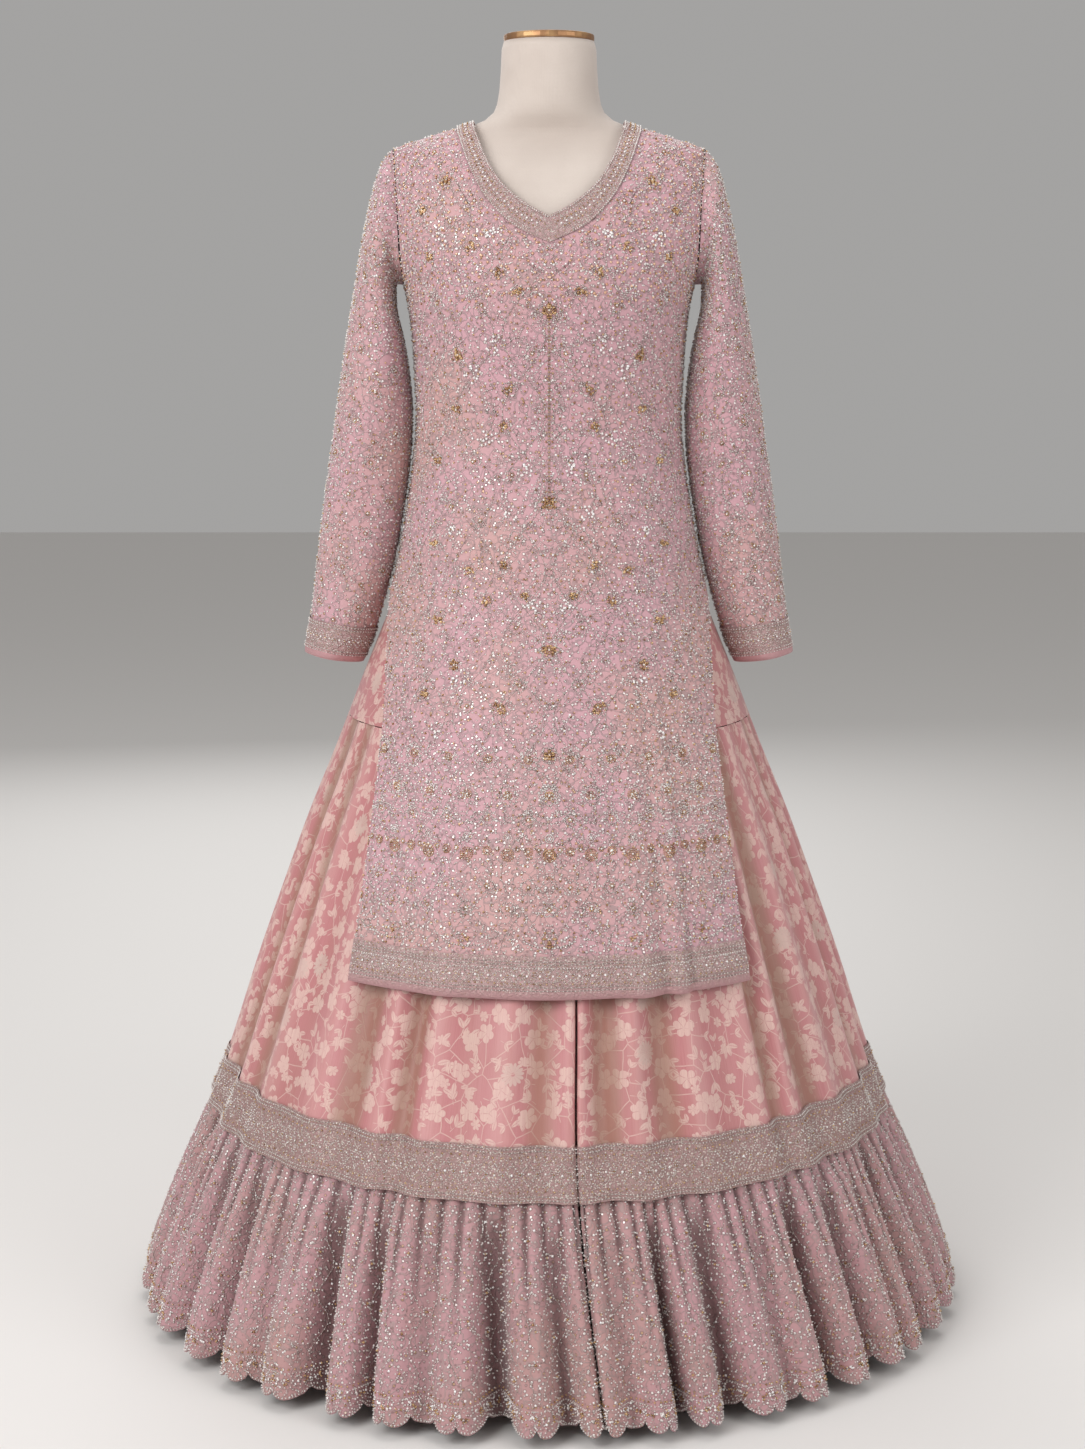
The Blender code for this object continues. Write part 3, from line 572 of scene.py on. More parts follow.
def flat_values(points, gathered=False):
    """Where each point lies on the cloth laid flat, in metres, with no fold."""
    surface = Surface(points, points, gathered)
    up = np.broadcast_to(surface.up[:, None], surface.across.shape)
    return np.stack([surface.across, up, np.zeros_like(up)], axis=-1)


bpy.data.objects["waistband"].material_slots[0].material = satin()
yoke_brocade = brocade("yoke_brocade", painted_fold_shade=False)
yoke_heights = np.linspace(YOKE_BOTTOM, YOKE_TOP, YOKE_ROWS)[:, None]
for face, sign in (("front", 1), ("back", -1)):
    turns = sign * np.linspace(0, math.pi, YOKE_COLUMNS + 1)
    points = body_points(SHARARA_SECTIONS, yoke_heights, turns)
    points -= outwards(points) * SHARARA_WALL
    points[:, [0, -1], 1] = -sign * HALF_SEAM
    points = points[:, ::-1] if sign == 1 else points
    yoke, _ = add_piece("yoke_" + face + "_cloth", [points], yoke_brocade, SHARARA_LIFT,
                        values=[flat_values(points, gathered=True)])
    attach(yoke, "root")
    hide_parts("yoke_" + face)


# The flared legs: two very full legs of rose brocade, each a front and a back panel, gathered into
# the yoke. They hang in soft rounded folds with narrow grooves between them, and part a little to
# the wearer's left of the middle.
PartRow = namedtuple("PartRow", "height x gap corner")
PARTING = [PartRow(0.016, 0.062, 0.0010, 90), PartRow(0.256, 0.033, 0.0010, 90),
           PartRow(0.450, 0.031, 0.0008, 90), PartRow(0.752, 0.031, 0.0006, 90)]
DepthRow = namedtuple("DepthRow", "height depth")
FLARE_FOLD = [DepthRow(0.256, 0.009), DepthRow(0.313, 0.012), DepthRow(0.450, 0.018),
              DepthRow(0.600, 0.014), DepthRow(0.752, 0.004)]
FLARE_BOTTOM = 0.256
FLARE_TOP = 0.752
FOLDS_HALF_LEG = 8
FLARE_FOLD_COLUMNS = 22
FLARE_WALL_COLUMNS = 30
FLARE_ROWS = 36
# How sharply a fold's groove closes, above 1 for a broad ridge and a narrow groove
GROOVE = 1.7
Swing = namedtuple("Swing", "middle amount rate")
FOLD_WIDTH = Swing(1.0, 0.22, 2.4)
FINE_FOLD_WIDTH = Swing(0.0, 0.10, 5.1)
FLARE_FOLD_SIZE = Swing(0.80, 0.35, 1.9)
FLARE_START = {(1, "front"): 1.5, (1, "back"): 3.4, (-1, "front"): -0.7, (-1, "back"): 1.2}
LEGS = [(1, "left"), (-1, "right")]
FACES = ("front", "back")


def swung(swing, number, start):
    """The size of the fold of this number in a row of uneven folds."""
    return swing.middle + swing.amount * np.sin(swing.rate * number + start)


def uneven_edges(count, start):
    """Where folds of uneven width begin and end, as shares of the way round."""
    numbers = np.arange(count)
    widths = swung(FOLD_WIDTH, numbers, start) + swung(FINE_FOLD_WIDTH, numbers, 2 * start)
    return np.pad(np.cumsum(widths) / np.sum(widths), (1, 0))


def column_places(edges, columns):
    """The places of the columns of points, so many to a fold."""
    numbers = np.arange((len(edges) - 1) * columns + 1) / columns
    return np.interp(numbers, np.arange(len(edges)), edges)


def half_leg_loop(side, height, places, wall_columns, wall):
    """The front half of a leg's level outline, from the outer seam round to the inner seam."""
    wide = read_table(SHARARA_SECTIONS, height, "half_width") - wall
    deep = read_table(SHARARA_SECTIONS, height, "front") - wall
    plane = read_table(PARTING, height, "x") + side * (read_table(PARTING, height, "gap") / 2 + wall)
    sharp = read_table(PARTING, height, "corner")
    middle = np.array([(plane + side * wide) / 2, 0.0])
    corner = math.acos(side * plane / wide)
    down = deep * math.sin(corner) * (np.arange(1, wall_columns + 1) / wall_columns - 1)
    x = np.concatenate([side * wide * np.cos(corner * places), np.full(wall_columns, plane)])
    y = np.concatenate([-deep * np.sin(corner * places), down])
    way = np.stack([x, y], axis=-1) - middle
    way /= np.linalg.norm(way, axis=1, keepdims=True)
    a = (way[:, 0] / wide) ** 2 + (way[:, 1] / deep) ** 2
    b = 2 * middle[0] * way[:, 0] / wide ** 2
    c = (middle[0] / wide) ** 2 - 1
    to_arc = (-b + np.sqrt(b * b - 4 * a * c)) / (2 * a)
    towards = np.maximum(-side * way[:, 0], JOIN)
    to_plane = (middle[0] - plane) * side / towards
    reach = (to_arc ** -sharp + to_plane ** -sharp) ** (-1 / sharp)
    return middle + way * reach[:, None]


def leg_grid(side, face, heights, places, wall_columns, inward):
    """Level rows of a leg's front or back half, its folds pushed in from the outline."""
    sign = 1 if face == "front" else -1
    rows = []
    for height, depth in zip(heights, inward):
        loop = half_leg_loop(side, height, places, wall_columns, SHARARA_WALL)
        before = np.vstack([loop[1] * (1, -1), loop[:-1]])
        after = np.vstack([loop[1:], loop[-2] * (1, -1)])
        along = after - before
        along /= np.linalg.norm(along, axis=1, keepdims=True)
        outward = np.stack([-along[:, 1], along[:, 0]], axis=-1) * side
        moved = loop - outward * depth[:, None]
        rows.append(np.column_stack([moved[:, 0], sign * moved[:, 1], np.full(len(moved), height)]))
    rows = np.array(rows)
    rows[:, [0, -1], 1] = -sign * HALF_SEAM
    return rows if (side == 1) != (face == "front") else rows[:, ::-1]


def fold_phase(edges, places):
    """The number of the fold at each place, and how far across it the place lies."""
    number = np.clip(np.searchsorted(edges, places, side="right") - 1, 0, len(edges) - 2)
    return number, (places - edges[number]) / (edges[number + 1] - edges[number])


def flare_folds(side, face, places, heights):
    """How far in a leg's folds lie, by height and place, and how deep in its groove each point is."""
    start = FLARE_START[side, face]
    number, phase = fold_phase(uneven_edges(FOLDS_HALF_LEG, start), places)
    groove = np.sin(math.pi * phase) ** GROOVE
    size = swung(FLARE_FOLD_SIZE, number, start)
    depth = read_table(FLARE_FOLD, heights, "depth")[:, None]
    return depth * size * groove, np.broadcast_to(groove * size, (len(heights), len(places)))


def with_walls(values, wall_columns):
    """The same values with none on a leg's plain inner side."""
    return np.pad(values, ((0, 0), (0, wall_columns)))


flare_brocade = brocade("flare_brocade")
flare_heights = np.linspace(FLARE_BOTTOM, FLARE_TOP, FLARE_ROWS)
for side, name in LEGS:
    for face in FACES:
        places = column_places(uneven_edges(FOLDS_HALF_LEG, FLARE_START[side, face]), FLARE_FOLD_COLUMNS)
        depth, groove = flare_folds(side, face, places, flare_heights)
        depth = with_walls(depth, FLARE_WALL_COLUMNS)
        points = leg_grid(side, face, flare_heights, places, FLARE_WALL_COLUMNS, depth)
        values = flat_values(points, gathered=True)
        groove = with_walls(groove, FLARE_WALL_COLUMNS)
        # The groove depths go to the fold attribute. From it the brocade paints shade in the grooves and a
        # highlight on the ridges.
        values[..., 2] = groove if (side == 1) != (face == "front") else groove[:, ::-1]
        leg, _ = add_piece(f"flare_{name}_{face}", [points], flare_brocade, SHARARA_LIFT, values=[values])
        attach(leg, "root")
        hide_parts(f"leg_{name}_{face}")
        "yoke_" + face + "_cloth"


# The band over each leg's seam with its ruffle: a stiff border packed with silver and beige beads,
# between fine double lines. It follows the folds of the leg under it. Its beads, like all the suit's
# beadwork, are sewn down one by one.
BORDER_WALL = 0.0012
BAND_GAP = 0.00045
# From the leg's inner face out to the band's visible face
BAND_LIFT = SHARARA_WALL + BAND_GAP + BORDER_WALL - 0.0001
BAND_TOP = 0.313
BAND_BOTTOM = 0.2535
BAND_ROWS = 14
Kind = namedtuple("Kind", "name light dark roughness metallic")
KINDS = [
    Kind("silver", paint(255, 252, 249), paint(214, 202, 196), 0.25, 0.05),
    Kind("gold", paint(240, 204, 156), paint(156, 112, 74), 0.30, 0.35),
    Kind("crystal", paint(255, 255, 255), paint(240, 230, 226), 0.08, 0.05),
    Kind("peach", paint(246, 212, 182), paint(216, 160, 126), 0.15, 0.15),
    Kind("thread", paint(188, 172, 166), paint(146, 126, 122), 0.55, 0.30),
]
KIND_NUMBERS = {kind.name: number for number, kind in enumerate(KINDS)}
# A seed bead is a three-sided dome, and a stone is cut above and below its girdle. Both are one
# across, and stand on the cloth
SEED_POINTS = np.array([(1, 0, 0), (-0.5, 0.87, 0), (-0.5, -0.87, 0), (0, 0, 1.5)]) * 0.55
SEED_FACES = np.array([(0, 1, 3), (1, 2, 3), (2, 0, 3), (0, 2, 1)])
STONE_POINTS = np.array([(1, 0, 0.5), (0, 1, 0.5), (-1, 0, 0.5), (0, -1, 0.5),
                         (0, 0, 1.1), (0, 0, 0)]) * 0.5
STONE_FACES = np.array([(0, 1, 4), (1, 2, 4), (2, 3, 4), (3, 0, 4),
                        (1, 0, 5), (2, 1, 5), (3, 2, 5), (0, 3, 5)])
THREAD_TURNS = np.radians((90, 210, 330))
BEAD_SPREAD = 0.12
THREAD_WIDTH = 0.0011
THREAD_STEP = 0.0095
# A thread's middle stands off the cloth by this share of its half width
THREAD_SIT = 0.3
# A thread's ends are this share of its width
THREAD_TIP = 0.3
# Beads this near a border that covers their piece are left out
COVER_REACH = 0.0032


def bead_finish(kind):
    """Glass or metal beads: each patch of them a little lighter or darker than the next."""
    finish = Finish(kind.name + "_beads", Metallic=kind.metallic)
    place = finish.place()
    speck = finish.cells(place, 260.0, output="Color")
    chance, _, _ = finish.parts(speck)
    colour = finish.blend(kind.light, kind.dark, chance)
    return finish.set(Base_Color=colour, Roughness=kind.roughness + chance * 0.15)


BEAD_FINISHES = [bead_finish(kind) for kind in KINDS]


def along(points, step):
    """Points spaced evenly along a line of points."""
    points = np.asarray(points, dtype=float)
    places = np.pad(np.cumsum(np.linalg.norm(np.diff(points, axis=0), axis=1)), (1, 0))
    count = max(2, int(round(places[-1] / step)) + 1)
    even = np.linspace(0, places[-1], count)
    return np.stack([np.interp(even, places, points[:, 0]), np.interp(even, places, points[:, 1])], axis=-1)


def round_middle(across, up, reach, turns):
    """Points at a reach and at turns from a middle."""
    return np.stack([across + reach * np.cos(turns), up + reach * np.sin(turns)], axis=-1)


class Beadwork:
    """The beads and threads of one piece, laid out flat, across and up, and then sewn on."""

    def __init__(self, chance, mirrored=False):
        self.chance = np.random.default_rng(chance)
        self.mirrored = mirrored
        self.kinds = []
        self.places = []
        self.sizes = []
        self.lines = []

    def beads(self, kind, places, size):
        places = np.asarray(places, dtype=float).reshape(-1, 2)
        self.kinds.append(np.full(len(places), KIND_NUMBERS[kind]))
        self.places.append(places)
        self.sizes.append(np.broadcast_to(size, len(places)))

    def thread(self, points, width=THREAD_WIDTH, step=THREAD_STEP):
        self.lines.append((along(points, step), width))

    def strand(self, points, kind="silver", pitch=0.0050, size=0.0022, step=THREAD_STEP):
        """A couched thread with beads along it."""
        self.thread(points, step=step)
        self.beads(kind, along(points, pitch), size)

    def curl(self, across, up, radius, start, hand):
        """A tendril that winds in on itself."""
        share = np.linspace(0, 1, 12)
        turn = start + hand * share * 2 * math.pi * 1.1
        reach = radius * (1 - 0.72 * share)
        self.strand(round_middle(across, up, reach, turn), pitch=0.0056, step=0.0068)

    def disc(self, across, up, radius, kind="gold", pitch=0.0024):
        """A round filled with rings of beads."""
        self.beads("crystal", [(across, up)], 0.0034)
        reach = pitch
        while reach <= radius:
            count = int(round(2 * math.pi * reach / pitch))
            turns = 2 * math.pi * np.arange(count) / count
            self.beads(kind, round_middle(across, up, reach, turns), 0.0025)
            reach += pitch

    def cluster(self, across, up, radius, kind="crystal", size=0.0038, count=8):
        """A loose heap of stones."""
        turns = self.chance.uniform(0, 2 * math.pi, count)
        reach = radius * np.sqrt(self.chance.uniform(0, 1, count))
        self.beads(kind, round_middle(across, up, reach, turns), size)

    def flower(self, across, up, radius, petals=6, start=0.0):
        """Petals outlined in thread and beads round a gold middle."""
        turns = np.linspace(0, 2 * math.pi, petals * 8 + 1)
        reach = radius * (0.66 + 0.34 * np.abs(np.cos(turns * petals / 2)))
        turns = turns + start
        self.strand(round_middle(across, up, reach, turns), pitch=0.0030, size=0.0021, step=0.004)
        self.disc(across, up, radius * 0.42)

    def sprig(self, across, up, length, turn, leaves=3):
        """A short stalk with pairs of leaves, each leaf a few beads long."""
        way = np.array((math.cos(turn), math.sin(turn)))
        side = np.array((-way[1], way[0]))
        root = np.array((across, up))
        self.thread([root, root + way * length], 0.0009)
        for leaf in range(leaves):
            foot = root + way * length * (leaf + 0.6) / leaves
            for hand in (-1, 1):
                tip = foot + (way * 0.6 + side * hand) * length * 0.32
                self.beads("silver", along([foot, tip], 0.0026), 0.0021)
        self.beads("crystal", [root + way * (length + 0.002)], 0.0030)

    def scatter(self, kind, across_from, across_to, up_from, up_to, pitch, size):
        """Single beads, evenly spread, with no two rows alike."""
        rows = np.arange(up_from, up_to, pitch * 0.87)
        columns = np.arange(across_from, across_to, pitch)
        across, up = np.meshgrid(columns, rows)
        across = across + (np.arange(len(rows)) % 2)[:, None] * pitch / 2
        shake = self.chance.uniform(-0.38, 0.38, (2, *across.shape)) * pitch
        places = np.stack([across + shake[0], up + shake[1]], axis=-1).reshape(-1, 2)
        self.beads(kind, places, size)

    def sew(self, name, surface, shell=None, reach=0.0012, clear_of=()):
        """Puts everything on the piece. What lies off it, or under a border, is left out."""
        nearest = tree_of(shell) if shell else None
        covers = [tree_of(cover) for cover in clear_of]
        kinds = np.concatenate(self.kinds)
        places = np.concatenate(self.places)
        sizes = np.concatenate(self.sizes)
        lines = list(self.lines)
        if self.mirrored:
            kinds = np.tile(kinds, 2)
            places = np.concatenate([places, places * (-1, 1)])
            sizes = np.tile(sizes, 2)
            lines += [(points * (-1, 1), width) for points, width in self.lines]
        points, normals, inside = on_piece(surface, places, nearest, reach, covers)
        sizes = sizes * self.chance.uniform(1 - BEAD_SPREAD, 1 + BEAD_SPREAD, len(sizes))
        spins = self.chance.uniform(0, 2 * math.pi, len(sizes))
        corners, faces, marks = [], [], []
        first = 0
        for number, kind in enumerate(KINDS):
            chosen = inside & (kinds == number)
            if not chosen.any():
                continue
            cut = kind.name in ("crystal", "peach")
            shape = (STONE_POINTS, STONE_FACES) if cut else (SEED_POINTS, SEED_FACES)
            some, own = bead_meshes(points[chosen], normals[chosen], sizes[chosen], spins[chosen], *shape)
            corners.append(some)
            faces.append(own + first)
            marks.append(np.full(len(own), number))
            first += len(some)
        if lines:
            some, own = thread_mesh(surface, lines, nearest, reach, covers)
            corners.append(some)
            faces.append(own + first)
            marks.append(np.full(len(own), KIND_NUMBERS["thread"]))
        return add_triangles(name, np.concatenate(corners), np.concatenate(faces), np.concatenate(marks))


def tree_of(shell):
    """The faces of a piece, for finding the nearest place on it."""
    return BVHTree.FromObject(shell, bpy.context.evaluated_depsgraph_get())


def on_piece(surface, places, nearest, reach, covers):
    """Places laid out flat, brought onto the piece."""
    points, normals, inside = surface.at(places[:, 0], places[:, 1])
    for i in np.flatnonzero(inside):
        point = Vector(points[i])
        if nearest:
            found, normal, _, _ = nearest.find_nearest(point, reach)
            if found is None:
                inside[i] = False
                continue
            points[i] = found
            normals[i] = normals[i] if normal.dot(Vector(normals[i])) < 0 else normal
        if any(cover.find_nearest(point, COVER_REACH)[0] for cover in covers):
            inside[i] = False
    return points, normals, inside


def frames(normals, spins):
    """Two directions on the surface for each normal, turned round it by a spin."""
    level = np.stack([-normals[:, 1], normals[:, 0], np.zeros(len(normals))], axis=-1)
    level += (JOIN, 0, 0)
    level /= np.linalg.norm(level, axis=1, keepdims=True)
    other = np.cross(normals, level)
    first = level * np.cos(spins)[:, None] + other * np.sin(spins)[:, None]
    return first, np.cross(normals, first)


def bead_meshes(points, normals, sizes, spins, shape, shape_faces):
    """A copy of a bead's shape at each point, standing on its normal."""
    first, second = frames(normals, spins)
    axes = np.stack([first, second, normals], axis=1)
    corners = points[:, None, :] + np.einsum("vk,nkc->nvc", shape, axes) * sizes[:, None, None]
    steps = np.arange(len(points)) * len(shape)
    return corners.reshape(-1, 3), (shape_faces[None] + steps[:, None, None]).reshape(-1, 3)


def thread_mesh(surface, lines, nearest, reach, covers):
    """Three-sided threads along lines laid out flat, pointed at their ends."""
    places = np.concatenate([points for points, _ in lines])
    run = np.concatenate([np.full(len(points), i) for i, (points, _) in enumerate(lines)])
    widths = np.concatenate([np.full(len(points), width) for points, width in lines])
    points, normals, inside = on_piece(surface, places, nearest, reach, covers)
    joined = (run[1:] == run[:-1]) & inside[1:] & inside[:-1]
    steps = (points[1:] - points[:-1]) * joined[:, None]
    way = np.zeros_like(points)
    way[:-1] += steps
    way[1:] += steps
    way /= np.maximum(np.linalg.norm(way, axis=1, keepdims=True), JOIN)
    aside = np.cross(way, normals)
    ends = ~(np.pad(joined, (1, 0)) & np.pad(joined, (0, 1)))
    widths = widths * np.where(ends, THREAD_TIP, 1.0) / 2
    corners = []
    for turn in THREAD_TURNS:
        away = aside * math.cos(turn) + normals * (math.sin(turn) + THREAD_SIT)
        corners.append(points + away * widths[:, None])
    corners = np.stack(corners, axis=1)
    start = np.flatnonzero(joined) * 3
    faces = []
    for side in range(3):
        a, b = start + side, start + (side + 1) % 3
        faces += [np.stack([a, b, b + 3], axis=-1), np.stack([a, b + 3, a + 3], axis=-1)]
    faces = np.concatenate(faces)
    used, faces = np.unique(faces, return_inverse=True)
    return corners.reshape(-1, 3)[used], faces.reshape(-1, 3)


def add_triangles(name, corners, faces, marks):
    """One object from many small closed shapes, with a finish for each kind of bead."""
    mesh = bpy.data.meshes.new(name)
    mesh.vertices.add(len(corners))
    mesh.vertices.foreach_set("co", corners.ravel())
    mesh.loops.add(len(faces) * 3)
    mesh.loops.foreach_set("vertex_index", faces.ravel().astype(np.int32))
    mesh.polygons.add(len(faces))
    mesh.polygons.foreach_set("loop_start", np.arange(len(faces), dtype=np.int32) * 3)
    for finish in BEAD_FINISHES:
        mesh.materials.append(finish)
    mesh.polygons.foreach_set("material_index", marks.astype(np.int32))
    mesh.update(calc_edges=True)
    made = bpy.data.objects.new(name, mesh)
    bpy.context.scene.collection.objects.link(made)
    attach(made, "root")
    return made


def bead_cloth(name, ground, thread):
    """Cloth so closely worked in thread and tiny beads that little of its ground shows.

    The fold attribute marks a narrow plain strip along the edge.
    """
    finish = Finish(name, Metallic=0.25)
    place = finish.place()
    beads = finish.cells(place, 420.0)
    round_beads = finish.fade(0.62 - beads, 0.0, 0.35)
    chance, other, _ = finish.parts(finish.cells(place, 420.0, output="Color"))
    line = finish.cells(place, 120.0, "DISTANCE_TO_EDGE")
    thread_mask = finish.fade(0.14 - line, 0.0, 0.08)
    colour = finish.blend(ground, thread, round_beads * 0.75)
    colour = finish.blend(colour, paint(226, 216, 206), finish.fade(chance, 0.72, 0.85) * round_beads)
    colour = finish.blend(colour, paint(176, 138, 104), finish.fade(other, 0.80, 0.9) * round_beads * 0.8)
    colour = finish.blend(colour, paint(150, 126, 118), thread_mask * 0.35)
    plain = finish.node("ShaderNodeAttribute", {"attribute_name": "fold"}, output=2)
    strip = finish.blend(paint(206, 160, 164), paint(188, 142, 144), finish.noise(place, 300.0, 2.0))
    colour = finish.blend(colour, strip, plain)
    relief = (round_beads + thread_mask * 0.5) * (1 - plain)
    return finish.set(Base_Color=colour, Roughness=0.55 - round_beads * 0.2,
                      Normal=finish.bump(relief, 0.0012, 0.8))


def straight_row(work, surface, up, kind, pitch, size, width=0.0):
    """A row of beads right across a border, on a thread where it has a width."""
    left, right = surface.across[0, 0], surface.across[0, -1]
    line = np.array([(left, up), (right, up)])
    work.beads(kind, along(line, pitch), size)
    if width:
        work.thread(line, width, 0.008)


def diamond_row(work, surface, up, height, pitch):
    """A row of small beaded diamonds, a stone in each."""
    left, right = surface.across[0, 0], surface.across[0, -1]
    count = max(1, int((right - left) / pitch))
    middles = left + (np.arange(count) + 0.5) * (right - left) / count
    for middle in middles:
        corners = [(middle, up - height / 2), (middle + pitch / 2, up), (middle, up + height / 2),
                   (middle - pitch / 2, up), (middle, up - height / 2)]
        work.beads("silver", along(corners, 0.0036), 0.0022)
    work.beads("crystal", np.column_stack([middles, np.full(count, up)]), 0.0036)
    work.beads("gold", np.column_stack([middles + pitch / 2, np.full(count, up)]), 0.0030)


band_cloth = bead_cloth("band_cloth", paint(166, 132, 131), paint(204, 182, 175))
for side, name in LEGS:
    halves = []
    for face in FACES:
        places = column_places(uneven_edges(FOLDS_HALF_LEG, FLARE_START[side, face]), FLARE_FOLD_COLUMNS)
        heights = np.linspace(BAND_BOTTOM, BAND_TOP, BAND_ROWS)
        depth, _ = flare_folds(side, face, places, np.maximum(heights, FLARE_BOTTOM))
        depth = with_walls(depth, FLARE_WALL_COLUMNS)
        points = leg_grid(side, face, heights, places, FLARE_WALL_COLUMNS, depth)
        points[:, [0, -1], 1] = 0.0
        halves.append(points)
    band, surfaces = add_piece(f"band_{name}_cloth", halves, band_cloth, BAND_LIFT, gathered=True)
    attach(band, "root")
    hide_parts("band_" + name)
    for face, surface in zip(FACES, surfaces):
        work = Beadwork(11 + side)
        top = surface.up[-1]
        for up in (0.003, 0.007, top - 0.007, top - 0.003):
            straight_row(work, surface, up, "silver", 0.0042, 0.0022, 0.0012)
        diamond_row(work, surface, top * 0.5, 0.026, 0.020)
        for share in (0.2, 0.8):
            straight_row(work, surface, top * share, "gold", 0.0105, 0.0028)
        left, right = surface.across[0, 0], surface.across[0, -1]
        work.scatter("silver", left, right, 0.012, top - 0.012, 0.0085, 0.0022)
        work.sew(f"band_{name}_{face}_beads", surface)


# The ruffles: below each band a very full strip of beaded net, sewn into small pleats at its top and
# falling in deep round flutes to a scalloped hem. Vines of seed beads cover it, and a beaded border
# follows its scallops.
RUFFLE_WAVE = [DepthRow(0.016, 0.050), DepthRow(0.145, 0.036), DepthRow(0.256, 0.003)]
RUFFLE_PLEAT = [DepthRow(0.016, 0.0005), DepthRow(0.080, 0.0015), DepthRow(0.145, 0.0040),
                DepthRow(0.215, 0.0070), DepthRow(0.256, 0.0070)]
RUFFLE_TUCK = [DepthRow(0.145, 0.000), DepthRow(0.256, 0.0016)]
RUFFLE_WAVE_SIZE = Swing(0.82, 0.40, 2.2)
RUFFLE_START = {(1, "front"): 1.6, (1, "back"): 3.3, (-1, "front"): 0.2, (-1, "back"): 1.9}
RUFFLE_TOP = 0.2552
HEM = 0.016
SCALLOP_RISE = 0.010
SCALLOP_FADE = 0.030
WAVES_HALF_LEG = 11
# The ruffle's vines and beaded discs repeat at this spacing
RUFFLE_REPEAT = 0.042
LOBES_PER_WAVE = 3
WAVE_COLUMNS = 24
RUFFLE_WALL_COLUMNS = 48
RUFFLE_ROWS = 32
WALL_SWAY = 0.22
WALL_SWAYS = 3
# A flute's ridge is broader than its valley
VALLEY = 1.9
# How deep a pleat is when its groove is fully shaded
SHADED_PLEAT = 0.0070
HEM_TURN = 0.0013


def ruffle_inward(side, face, places, heights):
    """How far in the flutes and pleats lie, by height and place along the hem, and how much painted shade
    each point takes.
    """
    start = RUFFLE_START[side, face]
    edges = uneven_edges(WAVES_HALF_LEG, start)
    wave, phase = fold_phase(edges, places)
    size = swung(RUFFLE_WAVE_SIZE, wave, start)
    deep = read_table(RUFFLE_WAVE, heights, "depth")[:, None]
    pleat = read_table(RUFFLE_PLEAT, heights, "depth")[:, None]
    tuck = read_table(RUFFLE_TUCK, heights, "depth")[:, None]
    curl = (0.5 - 0.5 * np.cos(2 * math.pi * phase)) ** VALLEY
    fine = np.abs(np.cos(math.pi * phase * LOBES_PER_WAVE)) ** 3
    sewn, _ = flare_folds(side, face, places, np.full(len(heights), FLARE_BOTTOM))
    near_seam = smooth_step(heights, 0.215, FLARE_BOTTOM)[:, None]
    arc = tuck + pleat * fine * (0.7 + 0.3 * np.sin(7 * wave + 3 * phase)) + sewn * near_seam
    arc = arc + deep * size * curl
    share = np.arange(1, RUFFLE_WALL_COLUMNS + 1) / RUFFLE_WALL_COLUMNS
    sway = np.sin(WALL_SWAYS * math.pi * share) ** 2
    wall = tuck + WALL_SWAY * deep * sway + pleat * 0.3 * np.sin(11 * WALL_SWAYS * math.pi * share) ** 2
    wall = wall * smooth_step(share, 0.0, 0.12)
    open_up = smooth_step(FLARE_BOTTOM - heights, -0.02, 0.07)[:, None]
    # How much painted shade each point takes: most in the flutes' valleys and the pleats' grooves, fading
    # out towards the band.
    shaded = np.maximum(size * curl ** 1.5 * open_up, pleat / SHADED_PLEAT * fine * 0.8)
    return np.concatenate([arc, wall], axis=1), with_walls(shaded, RUFFLE_WALL_COLUMNS)


def scallops(points, columns):
    """The hem cut in round lobes, fading out a little way up."""
    lobe = np.arange(points.shape[1]) % columns / columns
    rise = SCALLOP_RISE * (1 - np.sqrt(np.sin(math.pi * lobe)))
    fade = 1 - smooth_step(points[..., 2], HEM, HEM + SCALLOP_FADE)
    points[..., 2] += rise * fade
    return points


# The colour of painted shade: round the painted seed beads, and in the ruffle's valleys.
SHADE = paint(104, 74, 74)


